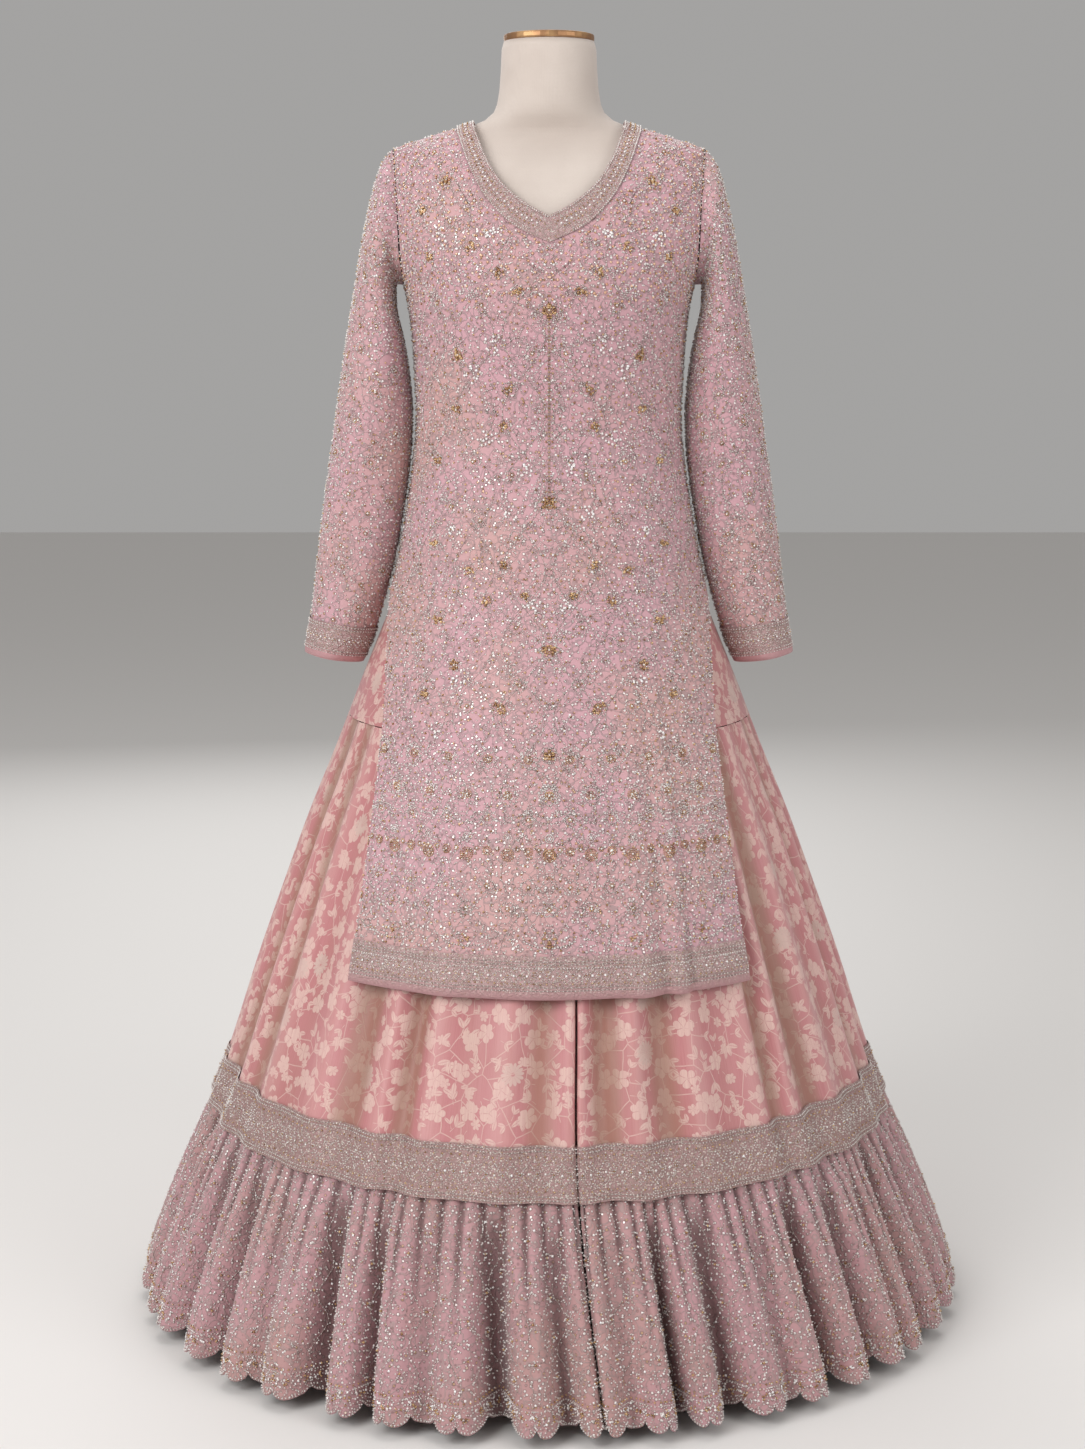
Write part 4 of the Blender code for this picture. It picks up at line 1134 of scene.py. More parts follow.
def embroidered_net(name, ground, warm, thread, painted_fold_shade=False):
    """Dusty pink net over lining, worked all over in fine silver scrolls and tiny beads."""
    finish = Finish(name, Sheen_Weight=0.25)
    place = finish.place()
    wander = finish.noise(place, 38.0, 2.0, output=1)
    drawn = finish.vector_math("ADD", place, finish.scaled(wander, 0.020))
    cloud = finish.noise(place, 7.0, 3.0)
    fibre = finish.noise(place, 520.0, 2.0)
    rings = finish.cells(drawn, 72.0)
    scroll = finish.math("ABSOLUTE", rings - 0.42)
    scrolls = finish.fade(0.075 - scroll, 0.0, 0.05)
    veins = finish.fade(0.055 - finish.cells(drawn, 60.0, "DISTANCE_TO_EDGE"), 0.0, 0.035)
    seeds = finish.cells(place, 200.0)
    chance, other, _ = finish.parts(finish.cells(place, 200.0, output="Color"))
    grown = finish.fade(chance, 0.42, 0.5)
    seed = finish.fade(0.34 - seeds, 0.0, 0.10) * grown
    # A painted shadow ring round each painted seed bead.
    shade = finish.fade(0.54 - seeds, 0.0, 0.12) * grown * (1 - seed)
    ground_colour = finish.blend(ground, warm, finish.fade(cloud, 0.38, 0.68) * 0.7 + fibre * 0.15)
    worked = finish.math("MAXIMUM", scrolls, veins * 0.8)
    colour = finish.blend(ground_colour, thread, worked * 0.62)
    colour = finish.blend(colour, SHADE, shade * 0.42)
    bead = finish.blend(paint(242, 236, 231), paint(200, 164, 130), finish.fade(other, 0.74, 0.82))
    colour = finish.blend(colour, bead, seed * 0.9)
    if painted_fold_shade:
        # Painted shade in the flutes' valleys and the pleats' grooves, read from the fold attribute.
        depth = finish.node("ShaderNodeAttribute", {"attribute_name": "fold"}, output=2)
        colour = finish.blend(colour, SHADE, finish.fade(depth, 0.16, 0.85) * 0.84)
    relief = worked * 0.6 + seed + fibre * 0.15
    return finish.set(Base_Color=colour, Roughness=0.66 - seed * 0.3, Metallic=worked * 0.2 + seed * 0.4,
                      Normal=finish.bump(relief, 0.0011, 0.75))


def turned_hem(row, inwards=HEM_TURN):
    """The hem's edge turned in under its first row, to the thickness of the cloth."""
    return row - outwards(row) * inwards


def trellis(work, half_width, up_from, up_to, across_pitch, up_pitch, beads=0.0062):
    """Pairs of vines that sway apart and together all over a piece, with tendrils along them."""
    up = np.arange(up_from, up_to, 0.004)
    lanes = int(half_width / across_pitch) + 1
    for lane in range(lanes):
        for hand in (-1, 1):
            middle = (lane + 0.5) * across_pitch
            sway = 0.42 * across_pitch * np.cos(math.pi * (up - up_from) / up_pitch)
            line = np.column_stack([middle + hand * sway, up])
            work.strand(line, pitch=beads)
            for place in range(4, len(line) - 4, 7):
                x, y = line[place]
                turned = 1 if (place // 7) % 2 else -1
                start = math.pi if turned > 0 else 0
                work.curl(x + turned * 0.007, y + 0.003, 0.0068, start, turned * hand)


ruffle_net = embroidered_net("ruffle_net", paint(188, 143, 149), paint(180, 140, 134),
                             paint(166, 147, 144), painted_fold_shade=True)
ruffle_heights = np.concatenate([[HEM, HEM + 0.003, HEM + 0.007],
                                 np.linspace(HEM + 0.012, RUFFLE_TOP, RUFFLE_ROWS)])
for side, name in LEGS:
    for face in FACES:
        places = column_places(uneven_edges(WAVES_HALF_LEG, RUFFLE_START[side, face]), WAVE_COLUMNS)
        inward, shaded = ruffle_inward(side, face, places, ruffle_heights)
        points = leg_grid(side, face, ruffle_heights, places, RUFFLE_WALL_COLUMNS, inward)
        points = scallops(points, WAVE_COLUMNS // LOBES_PER_WAVE)
        patches = [points, np.concatenate([turned_hem(points[:1]), points[:1]])]
        values = flat_values(points, gathered=True)
        values[..., 2] = shaded if (side == 1) != (face == "front") else shaded[:, ::-1]
        ruffle, surfaces = add_piece(f"ruffle_{name}_{face}_net", patches, ruffle_net, SHARARA_LIFT,
                                     values=[values, values[[0, 0]]], gathered=True)
        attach(ruffle, "root")
        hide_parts(f"ruffle_{name}_{face}")
        surface = surfaces[0]
        left, right = surface.across[0, 0], surface.across[0, -1]
        work = Beadwork(31 + side)
        for up, kind, pitch, size in ((0.0025, "silver", 0.0040, 0.0028),
                                      (0.0300, "silver", 0.0046, 0.0026),
                                      (0.0345, "gold", 0.0080, 0.0032)):
            straight_row(work, surface, up, kind, pitch, size)
        work.scatter("silver", left, right, 0.005, 0.030, 0.0063, 0.0027)
        count = int((right - left) / 0.024)
        for middle in left + (np.arange(count) + 0.5) * (right - left) / count:
            work.cluster(middle, 0.0190, 0.0055, "gold", 0.0034, 5)
            work.cluster(middle + 0.012, 0.0210, 0.0060, "crystal", 0.0036, 3)
        columns = np.arange(left + 0.02, right, RUFFLE_REPEAT)
        for number, middle in enumerate(columns):
            up = np.arange(0.038, surface.up[-1] - 0.012, 0.004)
            vine = np.column_stack([middle + 0.013 * np.sin(up * 95 + number * math.pi), up])
            work.strand(vine, pitch=0.0066)
            across = middle + RUFFLE_REPEAT / 2
            for level in np.arange(0.058, surface.up[-1] - 0.04, RUFFLE_REPEAT):
                rise = level + RUFFLE_REPEAT / 2 * (number % 2)
                work.beads("gold", [(across, rise)], 0.0042)
                turns = 2 * math.pi * np.arange(6) / 6
                work.beads("silver", round_middle(across, rise, 0.0048, turns), 0.0029)
        work.scatter("silver", left, right, 0.038, surface.up[-1] - 0.004, 0.0122, 0.0029)
        work.scatter("crystal", left, right, 0.038, surface.up[-1] - 0.004, 0.0300, 0.0036)
        work.sew(f"ruffle_{name}_{face}_beads", surface)


# The kurta's body: a front and a back panel of embroidered net, each in one from shoulder to hem,
# sewn at the shoulders and sides and slit below the hips. Flowers, discs and vines of beads are
# laid out alike on both sides of the middle, thickest at the yoke and above the hem.
KURTA_SECTIONS = [
    Section(0.476, 0.3670, 0.3670, 0.3670, 2.0),
    Section(0.521, 0.3520, 0.3520, 0.3520, 2.0),
    Section(0.600, 0.3235, 0.3215, 0.3215, 2.0),
    Section(0.680, 0.2905, 0.2800, 0.2800, 2.0),
    Section(0.752, 0.2615, 0.2410, 0.2410, 2.0),
    Section(0.810, 0.2390, 0.2105, 0.2105, 2.0),
    Section(0.870, 0.2160, 0.1790, 0.1790, 2.0),
    Section(0.930, 0.1930, 0.1520, 0.1520, 2.0),
    Section(1.000, 0.1790, 0.1370, 0.1350, 2.1),
    Section(1.060, 0.1695, 0.1270, 0.1230, 2.1),
    Section(1.115, 0.1640, 0.1215, 0.1160, 2.15),
    Section(1.175, 0.1655, 0.1280, 0.1170, 2.2),
    Section(1.230, 0.1690, 0.1365, 0.1190, 2.2),
    Section(1.290, 0.1785, 0.1400, 0.1210, 2.25),
    Section(1.330, 0.1970, 0.1300, 0.1190, 2.3),
    Section(1.370, 0.2050, 0.1160, 0.1130, 2.3),
    Section(1.410, 0.2030, 0.0980, 0.1000, 2.3),
    Section(1.435, 0.1970, 0.0810, 0.0850, 2.3),
    Section(1.452, 0.1895, 0.0660, 0.0705, 2.3),
    Section(1.465, 0.1520, 0.0555, 0.0605, 2.3),
    Section(1.475, 0.1180, 0.0555, 0.0605, 2.3),
    Section(1.483, 0.0920, 0.0585, 0.0630, 2.2),
]
Line = namedtuple("Line", "x height")
FRONT_LINES = {
    "neckline": [Line(0.0915, 1.4831), Line(0.0885, 1.470), Line(0.0760, 1.437), Line(0.0570, 1.407),
                 Line(0.0300, 1.383), Line(0.0000, 1.366)],
    "border": [Line(0.1125, 1.4766), Line(0.1090, 1.462), Line(0.0965, 1.427), Line(0.0760, 1.389),
               Line(0.0440, 1.356), Line(0.0000, 1.335)],
    "yoke": [Line(0.1300, 1.4716), Line(0.1260, 1.452), Line(0.1130, 1.408), Line(0.0890, 1.358),
             Line(0.0500, 1.315), Line(0.0000, 1.290)],
}
BACK_LINES = {
    "neckline": [Line(0.0915, 1.4831), Line(0.0870, 1.475), Line(0.0720, 1.464), Line(0.0520, 1.457),
                 Line(0.0270, 1.453), Line(0.0000, 1.452)],
    "border": [Line(0.1125, 1.4766), Line(0.1070, 1.462), Line(0.0900, 1.445), Line(0.0640, 1.435),
               Line(0.0330, 1.430), Line(0.0000, 1.429)],
    "yoke": [Line(0.1300, 1.4716), Line(0.1260, 1.450), Line(0.1130, 1.405), Line(0.0890, 1.353),
             Line(0.0500, 1.310), Line(0.0000, 1.290)],
}
LINES = {"front": FRONT_LINES, "back": BACK_LINES}
ARMHOLE = [Line(0.1895, 1.4520), Line(0.1880, 1.435), Line(0.1850, 1.400), Line(0.1825, 1.360),
           Line(0.1805, 1.320), Line(0.1785, 1.290)]
Fold = namedtuple("Fold", "x width depth")
KURTA_FOLDS = {
    "front": [Fold(0.108, 0.017, -0.009), Fold(0.152, 0.012, -0.008), Fold(-0.125, 0.026, -0.005),
              Fold(-0.020, 0.040, -0.002), Fold(0.136, 0.006, 0.0034), Fold(0.166, 0.007, 0.0028)],
    "back": [Fold(-0.110, 0.024, -0.006), Fold(0.070, 0.030, -0.005), Fold(0.150, 0.022, -0.004),
             Fold(0.000, 0.030, -0.002)],
}
FOLD_ROOT = 0.75
SlitRow = namedtuple("SlitRow", "height edge_x")
SLIT_EDGE = [SlitRow(0.476, 0.2360), SlitRow(0.555, 0.2240), SlitRow(0.660, 0.2110),
             SlitRow(0.770, 0.2000), SlitRow(0.850, 0.1975), SlitRow(0.905, 0.1970),
             SlitRow(0.930, 0.1930)]
SLIT_TOP = 0.930
KURTA_HEM = 0.476
HEM_BORDER_TOP = 0.521
RIDGE_START = 1.452
ARMPIT = 1.290
KURTA_LIFT = 0.0013
KURTA_WALL = 0.0016
SEAM_GAP = 0.0003
PANEL_COLUMNS = 108
LOWER_ROWS = 66
NECK_LINES = 6
YOKE_LINES = 7
UPPER_STEPS = 34
STEP_CROWDING = 1.4
# Small dents that a worn, heavily beaded cloth takes
RIPPLE = 0.0012


def kurta_shape(points, face):
    """The panel's soft lengthways folds and slight ripples, all of them standing out."""
    x, height = points[..., 0], points[..., 2]
    below = np.clip((SLIT_TOP - height) / (SLIT_TOP - KURTA_HEM), 0, None)
    proud = np.zeros_like(x)
    for fold in KURTA_FOLDS[face]:
        middle = fold.x * (FOLD_ROOT + (1 - FOLD_ROOT) * below)
        proud -= fold.depth * np.exp(-((x - middle) / fold.width) ** 2) * below
    hang = smooth_step(-height, -1.25, -0.95) * (1 - 0.6 * below)
    wave = np.sin(31 * x + 5.0 * height) * np.sin(9 * height + 17 * x + 1.0)
    proud += RIPPLE * (1 + wave) * hang
    return points + outwards(points) * proud[..., None]


def lower_grid(face):
    """The panel from its hem to the armpit, with its side edges drawn in below the slits."""
    sign = 1 if face == "front" else -1
    heights = np.linspace(KURTA_HEM, ARMPIT, LOWER_ROWS)
    heights = np.unique(np.concatenate([heights, [HEM_BORDER_TOP, SLIT_TOP]]))
    half_width = read_table(KURTA_SECTIONS, heights, "half_width")
    power = 2 / read_table(KURTA_SECTIONS, heights, "squareness")
    edge = np.minimum(1.0, read_table(SLIT_EDGE, heights, "edge_x") / half_width)
    edge[heights >= SLIT_TOP] = 1.0
    start = np.arccos(edge ** (1 / power))[:, None]
    turns = start + (math.pi - 2 * start) * np.arange(PANEL_COLUMNS + 1) / PANEL_COLUMNS
    points = kurta_shape(body_points(KURTA_SECTIONS, heights[:, None], sign * turns), face)
    closed = heights >= SLIT_TOP
    points[closed, 0, 1] = -sign * HALF_SEAM
    points[closed, -1, 1] = -sign * HALF_SEAM
    return points


Place = namedtuple("Place", "height x z")


def read_line(points, share):
    """A point of a line at a share of the way along it, on a smooth curve."""
    rows = [Place(i / (len(points) - 1), p.x, p.height) for i, p in enumerate(points)]
    return read_table(rows, share, "x"), read_table(rows, share, "z")


def on_kurta(x, height, face):
    """Points of the kurta's inner face over x, height."""
    sign = -1 if face == "front" else 1
    half_width = read_table(KURTA_SECTIONS, height, "half_width")
    squareness = read_table(KURTA_SECTIONS, height, "squareness")
    share = np.minimum(1.0, np.abs(x) / half_width)
    depth = read_table(KURTA_SECTIONS, height, face) * (1 - share ** squareness) ** (1 / squareness)
    return np.stack([x, sign * np.maximum(HALF_SEAM, depth), height], axis=-1)


def upper_grid(face, side, bottom_row):
    """Half of the panel above the armpit, in lines from the neckline out to the armhole."""
    half = PANEL_COLUMNS // 2
    share = (np.arange(UPPER_STEPS + 1) / UPPER_STEPS) ** STEP_CROWDING
    names = ("neckline", "border", "yoke")
    neck, border, yoke = (np.stack(read_line(LINES[face][name], share)) for name in names)
    far = np.stack(read_line(ARMHOLE, share))
    lines = [neck + (border - neck) * k / NECK_LINES for k in range(NECK_LINES)]
    lines += [border + (yoke - border) * k / YOKE_LINES for k in range(YOKE_LINES)]
    for column in range(half + 1):
        line = yoke + (far - yoke) * column / half
        line[0] += (abs(bottom_row[half - side * column, 0]) - line[0]) * share ** 4
        lines.append(line)
    rows = []
    ridge = [section for section in KURTA_SECTIONS if section.height >= RIDGE_START]
    for number, (x, height) in enumerate(lines):
        row = on_kurta(x, height, face)
        shoulder = read_table(ridge, x[0], "height", key="half_width")
        row[0] = (x[0], math.copysign(HALF_SEAM, row[0, 1]), shoulder)
        row[:, 0] *= side
        column = number - NECK_LINES - YOKE_LINES
        if column >= 0:
            row[-1] = bottom_row[half - side * column]
        rows.append(row)
    rows = np.array(rows)
    return rows if (side == 1) == (face == "front") else rows[:, ::-1]


def edge_strip(points, plain):
    """A border's measures, with its plain edge marked."""
    values = flat_values(points)
    values[..., 2] = plain
    return values


def kurta_field(face):
    """The whole body's face, wider than the panel, for laying out beadwork by its true sizes."""
    sign = 1 if face == "front" else -1
    heights = np.linspace(KURTA_HEM, KURTA_SECTIONS[-1].height - 0.002, 150)[:, None]
    turns = sign * np.linspace(math.pi, 0, 241)
    points = kurta_shape(body_points(KURTA_SECTIONS, heights, turns), face)
    out = outwards(points)
    return Surface(points + out * KURTA_LIFT, out)


Spot = namedtuple("Spot", "x height size")
GOLD_FLOWERS = [Spot(0.000, 1.256, 0.0135), Spot(0.000, 1.025, 0.0145), Spot(0.000, 0.855, 0.0130),
                Spot(0.000, 0.738, 0.0110), Spot(0.115, 1.203, 0.0115), Spot(0.048, 1.162, 0.0100),
                Spot(0.118, 1.137, 0.0090), Spot(0.055, 1.117, 0.0090), Spot(0.147, 1.075, 0.0085),
                Spot(0.152, 0.975, 0.0090), Spot(0.055, 0.953, 0.0085), Spot(0.098, 0.945, 0.0085),
                Spot(0.078, 0.910, 0.0110), Spot(0.030, 0.918, 0.0080), Spot(0.142, 0.885, 0.0095),
                Spot(0.118, 0.835, 0.0085), Spot(0.058, 0.790, 0.0130), Spot(0.160, 0.800, 0.0085),
                Spot(0.038, 1.278, 0.0080), Spot(0.125, 1.410, 0.0120), Spot(0.158, 1.375, 0.0085),
                Spot(0.095, 1.330, 0.0095), Spot(0.150, 1.320, 0.0080), Spot(0.060, 1.300, 0.0080)]
SILVER_FLOWERS = [Spot(0.095, 1.075, 0.0105), Spot(0.045, 1.060, 0.0085), Spot(0.085, 1.005, 0.0100),
                  Spot(0.125, 1.020, 0.0090), Spot(0.040, 0.985, 0.0090), Spot(0.120, 0.920, 0.0090),
                  Spot(0.040, 0.880, 0.0095), Spot(0.090, 0.865, 0.0100), Spot(0.165, 0.850, 0.0085),
                  Spot(0.035, 0.815, 0.0090), Spot(0.100, 0.790, 0.0095), Spot(0.145, 1.265, 0.0095),
                  Spot(0.082, 1.262, 0.0095), Spot(0.020, 1.205, 0.0085), Spot(0.090, 1.385, 0.0095),
                  Spot(0.140, 1.445, 0.0090), Spot(0.120, 1.360, 0.0085)]
SPARKLES = [Spot(0.068, 1.218, 0.0125), Spot(0.095, 1.180, 0.0105), Spot(0.075, 1.102, 0.0110),
            Spot(0.028, 1.065, 0.0080), Spot(0.045, 1.013, 0.0100), Spot(0.120, 0.990, 0.0090),
            Spot(0.020, 0.905, 0.0080), Spot(0.110, 0.815, 0.0110), Spot(0.140, 0.760, 0.0100),
            Spot(0.135, 1.340, 0.0100), Spot(0.070, 1.345, 0.0080)]
# The rows above the hem repeat at this spacing
REPEAT = 0.049


def kurta_beadwork(work, field):
    """Vines, flowers and discs on half of a panel. The other half mirrors it."""
    top = field.up[-1]
    fill_top = field.up_at(0.525)
    trellis(work, 0.26, fill_top, top, 0.062, 0.094)
    for spot in GOLD_FLOWERS:
        up = field.up_at(spot.height)
        work.flower(spot.x, up, spot.size, 6, 40 * spot.x)
        work.cluster(spot.x, up, spot.size * 0.65, "gold", 0.0046, 11)
    for spot in SILVER_FLOWERS:
        up = field.up_at(spot.height)
        work.flower(spot.x, up, spot.size, 5, 60 * spot.x)
        work.sprig(spot.x + spot.size * 0.7, up + spot.size * 0.7, 0.020, 0.9)
    for spot in SPARKLES:
        work.cluster(spot.x, field.up_at(spot.height), spot.size, "crystal", 0.0042, 10)
    stem = field.up_at(np.linspace(1.035, 1.245, 30))
    work.strand(np.column_stack([np.zeros(30) + 0.0008, stem]), "gold", pitch=0.0048)
    for height in np.arange(0.76, 1.24, 0.034):
        work.sprig(0.003, field.up_at(height), 0.022, 0.75)
    swag = np.linspace(0, math.pi, 12)
    for place in np.arange(0.0, 0.25, REPEAT):
        for shift, height in ((0.0, 0.694), (REPEAT / 2, 0.733)):
            work.flower(place + shift, field.up_at(height), 0.0130, 8)
            work.cluster(place + shift, field.up_at(height + 0.004), 0.0120, "silver", 0.0034, 14)
        for drop in (0.0, 0.006):
            low = field.up_at(0.684 - drop) - 0.016 * np.sin(swag)
            work.strand(np.column_stack([place - 0.0245 * np.cos(swag), low]), pitch=0.0034)
        work.flower(place + REPEAT / 2, field.up_at(0.668), 0.0085, 6)
        work.disc(place, field.up_at(0.648), 0.0060, "silver")
        work.disc(place, field.up_at(0.630), 0.0090)
        work.disc(place + REPEAT / 2, field.up_at(0.634), 0.0062)
        work.disc(place + REPEAT / 4, field.up_at(0.636), 0.0036)
        work.disc(place + REPEAT * 0.75, field.up_at(0.636), 0.0036)
        work.flower(place + REPEAT / 2, field.up_at(0.596), 0.0100, 5, 0.4)
        work.flower(place, field.up_at(0.572), 0.0090, 6)
    for place in np.arange(0.0, 0.25, 2 * REPEAT):
        work.cluster(place, field.up_at(0.536), 0.0090, "gold", 0.0042, 8)
        low = field.up_at(0.540) - 0.010 * np.sin(swag)
        work.strand(np.column_stack([place - 0.030 * np.cos(swag), low]), pitch=0.0034, size=0.0030)
    work.scatter("silver", 0, 0.30, fill_top, top, 0.0100, 0.0030)
    work.scatter("silver", 0, 0.30, fill_top, field.up_at(0.74), 0.0095, 0.0028)
    work.scatter("silver", 0, 0.26, field.up_at(1.27), top, 0.0095, 0.0030)
    work.scatter("peach", 0, 0.26, field.up_at(1.27), top, 0.0120, 0.0038)
    work.scatter("gold", 0, 0.30, fill_top, top, 0.0170, 0.0034)
    work.scatter("crystal", 0, 0.30, fill_top, top, 0.0230, 0.0036)


kurta_net = embroidered_net("kurta_net", paint(204, 158, 168), paint(202, 160, 154), paint(158, 140, 140))
borders = bead_cloth("border_cloth", paint(186, 152, 152), paint(210, 190, 184))
PLAIN_STRIP = 0.008
BORDER_LIFT = KURTA_WALL + SEAM_GAP + BORDER_WALL - 0.0002
# The neck borders' flat cuts: how far each reaches down, and its own area
NECK_DROP = {"front": 0.165, "back": 0.100}
NECK_AREA = {"front": 0.0120, "back": 0.0092}
# The rows of beads across the neck borders, from the neckline outwards
BeadRow = namedtuple("BeadRow", "share kind pitch size")
NECK_ROWS = [
    BeadRow(0.06, "silver", 0.0030, 0.0027),
    BeadRow(0.20, "silver", 0.0046, 0.0020),
    BeadRow(0.36, "gold", 0.0062, 0.0028),
    BeadRow(0.50, "crystal", 0.0070, 0.0034),
    BeadRow(0.64, "gold", 0.0062, 0.0028),
    BeadRow(0.80, "silver", 0.0046, 0.0020),
    BeadRow(0.95, "silver", 0.0030, 0.0027),
]
for face in FACES:
    lower = lower_grid(face)
    halves = {side: upper_grid(face, side, lower[-1]) for side in (1, -1)}
    lower_out = lower[:, ::-1] if face == "front" else lower
    hem_turn = np.concatenate([turned_hem(lower_out[:1]), lower_out[:1]])
    patches = [lower_out, halves[1], halves[-1], hem_turn]
    panel, _ = add_piece(f"kurta_{face}_net", patches, kurta_net, KURTA_LIFT)
    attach(panel, "root")
    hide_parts("kurta_" + face)

    neck_rows = [halves[side][:NECK_LINES + 1] for side in (1, -1)]
    neck, neck_surfaces = add_piece(f"neck_border_{face}_cloth", neck_rows, borders, BORDER_LIFT)
    hem_rows = lower_out[lower_out[:, 0, 2] <= HEM_BORDER_TOP + JOIN]
    hem_edge = np.concatenate([turned_hem(hem_rows[:1], BORDER_WALL), hem_rows[:1]])
    hem_values = [edge_strip(patch, patch[..., 2] < KURTA_HEM + PLAIN_STRIP)
                  for patch in (hem_rows, hem_edge)]
    hem, hem_surfaces = add_piece(f"hem_border_{face}_cloth", [hem_rows, hem_edge], borders, BORDER_LIFT,
                                  values=hem_values)
    for border, node, flat, area in ((neck, "neck_border_", (0.225, NECK_DROP[face]), NECK_AREA[face]),
                                     (hem, "hem_border_", (0.56, 0.048), 0.0265)):
        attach(border, "root")
        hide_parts(node + face)

    work = Beadwork(51 if face == "front" else 52, mirrored=True)
    field = kurta_field(face)
    kurta_beadwork(work, field)
    work.sew(f"kurta_{face}_beads", field, panel, 0.0025, clear_of=[neck, hem])

    surface = hem_surfaces[0]
    work = Beadwork(61)
    for up in (0.010, 0.0140, 0.0400, 0.0435):
        straight_row(work, surface, up, "silver", 0.0046, 0.0021, 0.0013)
    diamond_row(work, surface, 0.0270, 0.018, 0.0150)
    straight_row(work, surface, 0.0360, "silver", 0.0036, 0.0027)
    straight_row(work, surface, 0.0180, "gold", 0.0075, 0.0027)
    work.sew(f"hem_{face}_beads", surface)
    for number, surface in enumerate(neck_surfaces):
        work = Beadwork(71 + number)
        width = surface.up[-1]
        start, end = surface.across[0, 0], surface.across[0, -1]
        for share, kind, pitch, size in NECK_ROWS:
            straight_row(work, surface, width * share, kind, pitch, size)
        work.scatter("silver", start, end, 0.001, width - 0.001, 0.0050, 0.0020)
        work.sew(f"neck_{face}_beads_{number}", surface)


# The sleeves: long, close sleeves of the same net, set into the armholes, with a few soft creases.
# Each ends in a beaded cuff with a narrow plain edge.
Ring = namedtuple("Ring", "outer_x outer_z inner_x inner_z half_depth")
SLEEVE_RINGS = [
    Ring(0.2065, 1.4340, 0.1900, 1.2890, 0.0640),
    Ring(0.2190, 1.3960, 0.1915, 1.2760, 0.0655),
    Ring(0.2310, 1.3430, 0.1895, 1.2520, 0.0660),
    Ring(0.2410, 1.2880, 0.1810, 1.2180, 0.0640),
    Ring(0.2515, 1.2280, 0.1745, 1.1760, 0.0605),
    Ring(0.2620, 1.1620, 0.1710, 1.1260, 0.0565),
    Ring(0.2720, 1.0950, 0.1745, 1.0680, 0.0530),
    Ring(0.2825, 1.0260, 0.1835, 1.0070, 0.0500),
    Ring(0.2925, 0.9520, 0.1965, 0.9400, 0.0470),
    Ring(0.3025, 0.8740, 0.2185, 0.8620, 0.0435),
    Ring(0.3100, 0.8320, 0.2355, 0.8200, 0.0410),
]
ARMHOLE_STEP = 0.0020
END_CLOSING = 0.1
SLEEVE_CREASE = 0.0022
SLEEVE_CREASES = 3
CREASE_TURN = 1.3
SLEEVE_COLUMNS = 84
ROWS_PER_RING = 8
# How far the open ends are turned in, as a share of their size
SLEEVE_END_TURN = 0.02
CUFF_TURN = 0.03


def sleeve_grid(side):
    """The sleeve's rings from armhole to cuff, smoothly joined. Each starts at the inner arm."""
    turns = np.linspace(-math.pi, math.pi, SLEEVE_COLUMNS + 1)
    top, bottom = ARMHOLE[0].height, ARMHOLE[-1].height
    height = bottom + (top - bottom) * (1 + np.cos(turns)) / 2
    x = read_table(ARMHOLE, height, "x")
    front = on_kurta(x, height, "front")[:, 1]
    back = on_kurta(x, height, "back")[:, 1]
    closing = np.abs(np.sin(turns)) ** END_CLOSING
    depth = np.where(np.sin(turns) >= 0, front, back) * closing
    rings = [np.column_stack([x + ARMHOLE_STEP, depth, height])]
    for number, ring in enumerate(SLEEVE_RINGS):
        outer = np.array((ring.outer_x - KURTA_WALL, 0, ring.outer_z))
        inner = np.array((ring.inner_x + KURTA_WALL, 0, ring.inner_z))
        middle, reach = (outer + inner) / 2, (outer - inner) / 2
        points = middle + reach * np.cos(turns)[:, None]
        ripple = np.sin(SLEEVE_CREASES * (turns % (2 * math.pi)) + CREASE_TURN * number)
        crease = SLEEVE_CREASE * ripple * np.sin(turns) ** 2
        points[:, 1] = -(ring.half_depth - crease) * np.sin(turns)
        rings.append(points)
    rings = np.array(rings)
    number = np.arange((len(rings) - 1) * ROWS_PER_RING + 1) / ROWS_PER_RING
    grid = smooth_rows(rings, number)
    grid[:, -1] = grid[:, 0]
    grid[..., 0] *= side
    return grid if side == 1 else grid[:, ::-1]


def smooth_rows(rows, number):
    """Rows read between the given ones, on smooth curves through their points."""
    low = np.clip(number.astype(int), 0, len(rows) - 2)
    t = (number - low)[:, None, None]
    before, after = np.maximum(low - 1, 0), np.minimum(low + 2, len(rows) - 1)
    start_slope = (rows[low + 1] - rows[before]) / (low + 1 - before)[:, None, None]
    end_slope = (rows[after] - rows[low]) / (after - low)[:, None, None]
    start = (1 + 2 * t) * (1 - t) ** 2 * rows[low] + t * (1 - t) ** 2 * start_slope
    return start + t * t * (3 - 2 * t) * rows[low + 1] + t * t * (t - 1) * end_slope


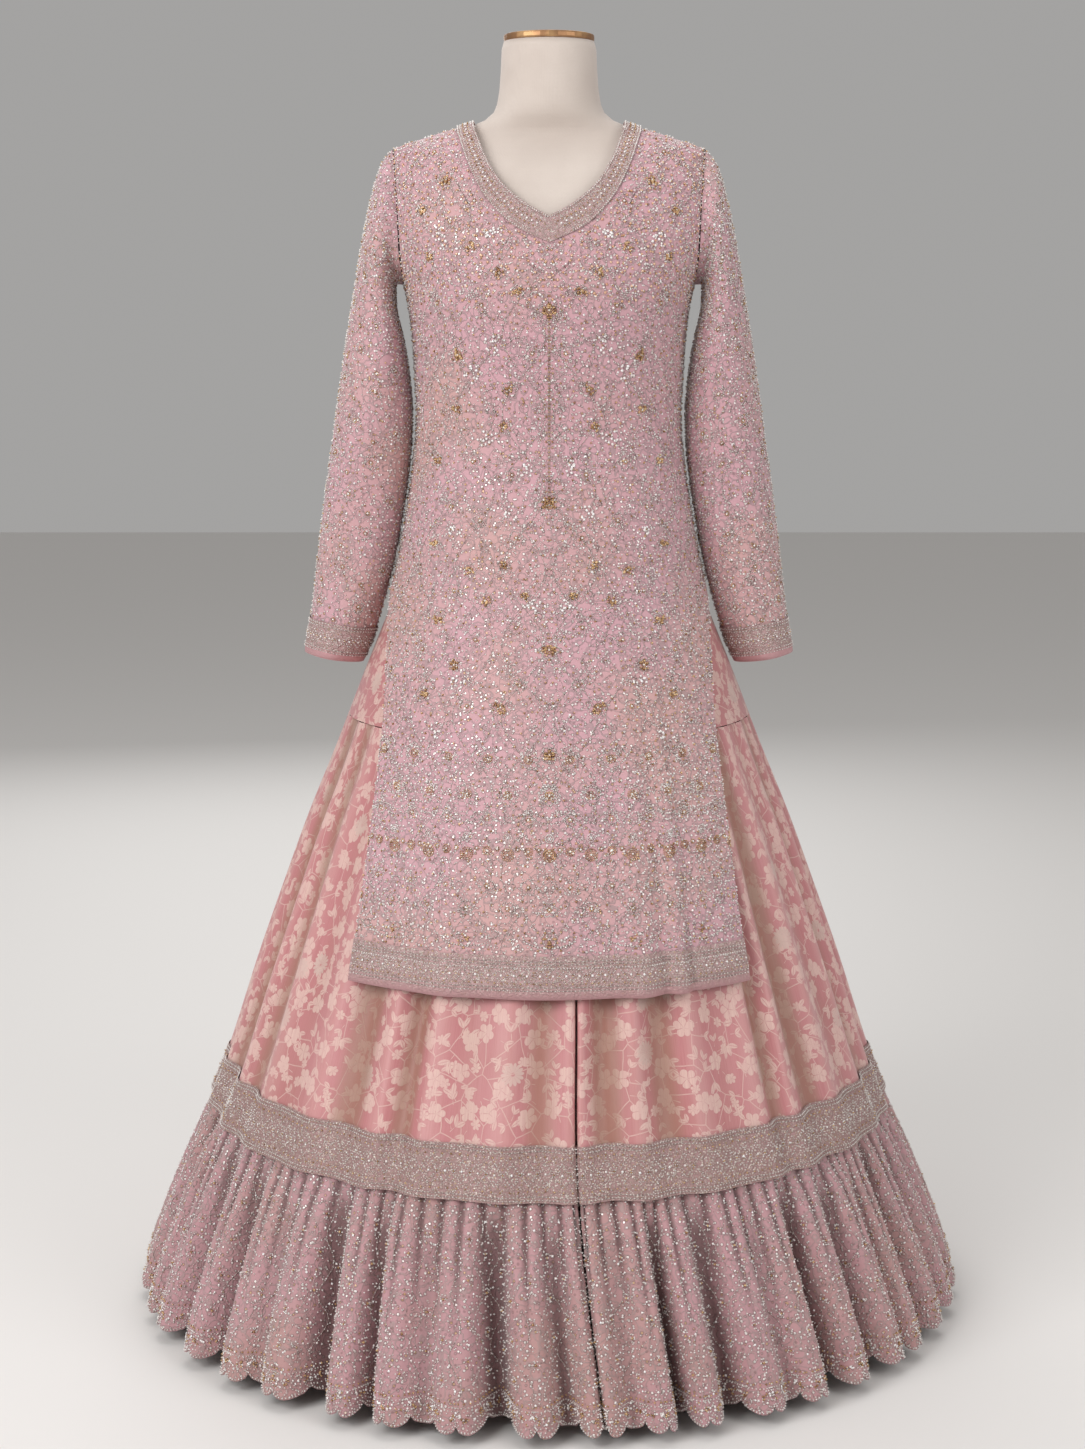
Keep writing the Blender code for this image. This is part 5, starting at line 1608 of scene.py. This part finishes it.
def turned_end(grid, share):
    """The last row, and the same row turned in towards its middle."""
    last = grid[-1:]
    return np.concatenate([last, last * (1 - share) + grid[-1].mean(axis=0) * share])


for side, name in LEGS:
    grid = sleeve_grid(side)
    edge = turned_end(grid, SLEEVE_END_TURN)
    sleeve, surfaces = add_piece(f"sleeve_{name}_net", [grid, edge], kurta_net, KURTA_LIFT)
    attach(sleeve, "root")
    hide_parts(f"sleeve_{name}_front", f"sleeve_{name}_back")
    cuff_grid = grid[-ROWS_PER_RING - 1:]
    cuff_edge = turned_end(cuff_grid, CUFF_TURN)
    cuff_values = [edge_strip(cuff_grid, np.arange(len(cuff_grid))[:, None] > len(cuff_grid) - 3),
                   edge_strip(cuff_edge, 1.0)]
    cuff, cuff_surfaces = add_piece(f"cuff_border_{name}_cloth", [cuff_grid, cuff_edge], borders,
                                    BORDER_LIFT, values=cuff_values)
    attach(cuff, "root")
    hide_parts("cuff_border_" + name)

    surface = surfaces[0]
    length = surface.up[-1]
    work = Beadwork(81 + side)
    trellis(work, 0.16, 0.012, length - 0.040, 0.050, 0.080)
    for number, up in enumerate(np.arange(0.05, length - 0.06, 0.047)):
        for place in (0.0, 0.062, -0.062, 0.118, -0.118):
            shift = 0.031 * (number % 2)
            work.flower(place + shift, up, 0.0088, 6, 0.5 * number)
            work.disc(place + shift + 0.030, up + 0.020, 0.0046)
    work.scatter("silver", -0.2, 0.2, 0.006, length - 0.042, 0.0088, 0.0028)
    work.scatter("gold", -0.2, 0.2, 0.006, length - 0.042, 0.0190, 0.0030)
    work.scatter("crystal", -0.2, 0.2, 0.006, length - 0.042, 0.0240, 0.0036)
    work.sew(f"sleeve_{name}_beads", surface)
    surface = cuff_surfaces[0]
    top = surface.up[-1]
    work = Beadwork(91 + side)
    for up in (0.002, 0.0055, top - 0.012, top - 0.0085):
        straight_row(work, surface, up, "silver", 0.0044, 0.0022, 0.0012)
    diamond_row(work, surface, top * 0.42, 0.015, 0.0125)
    work.sew(f"cuff_{name}_beads", surface)
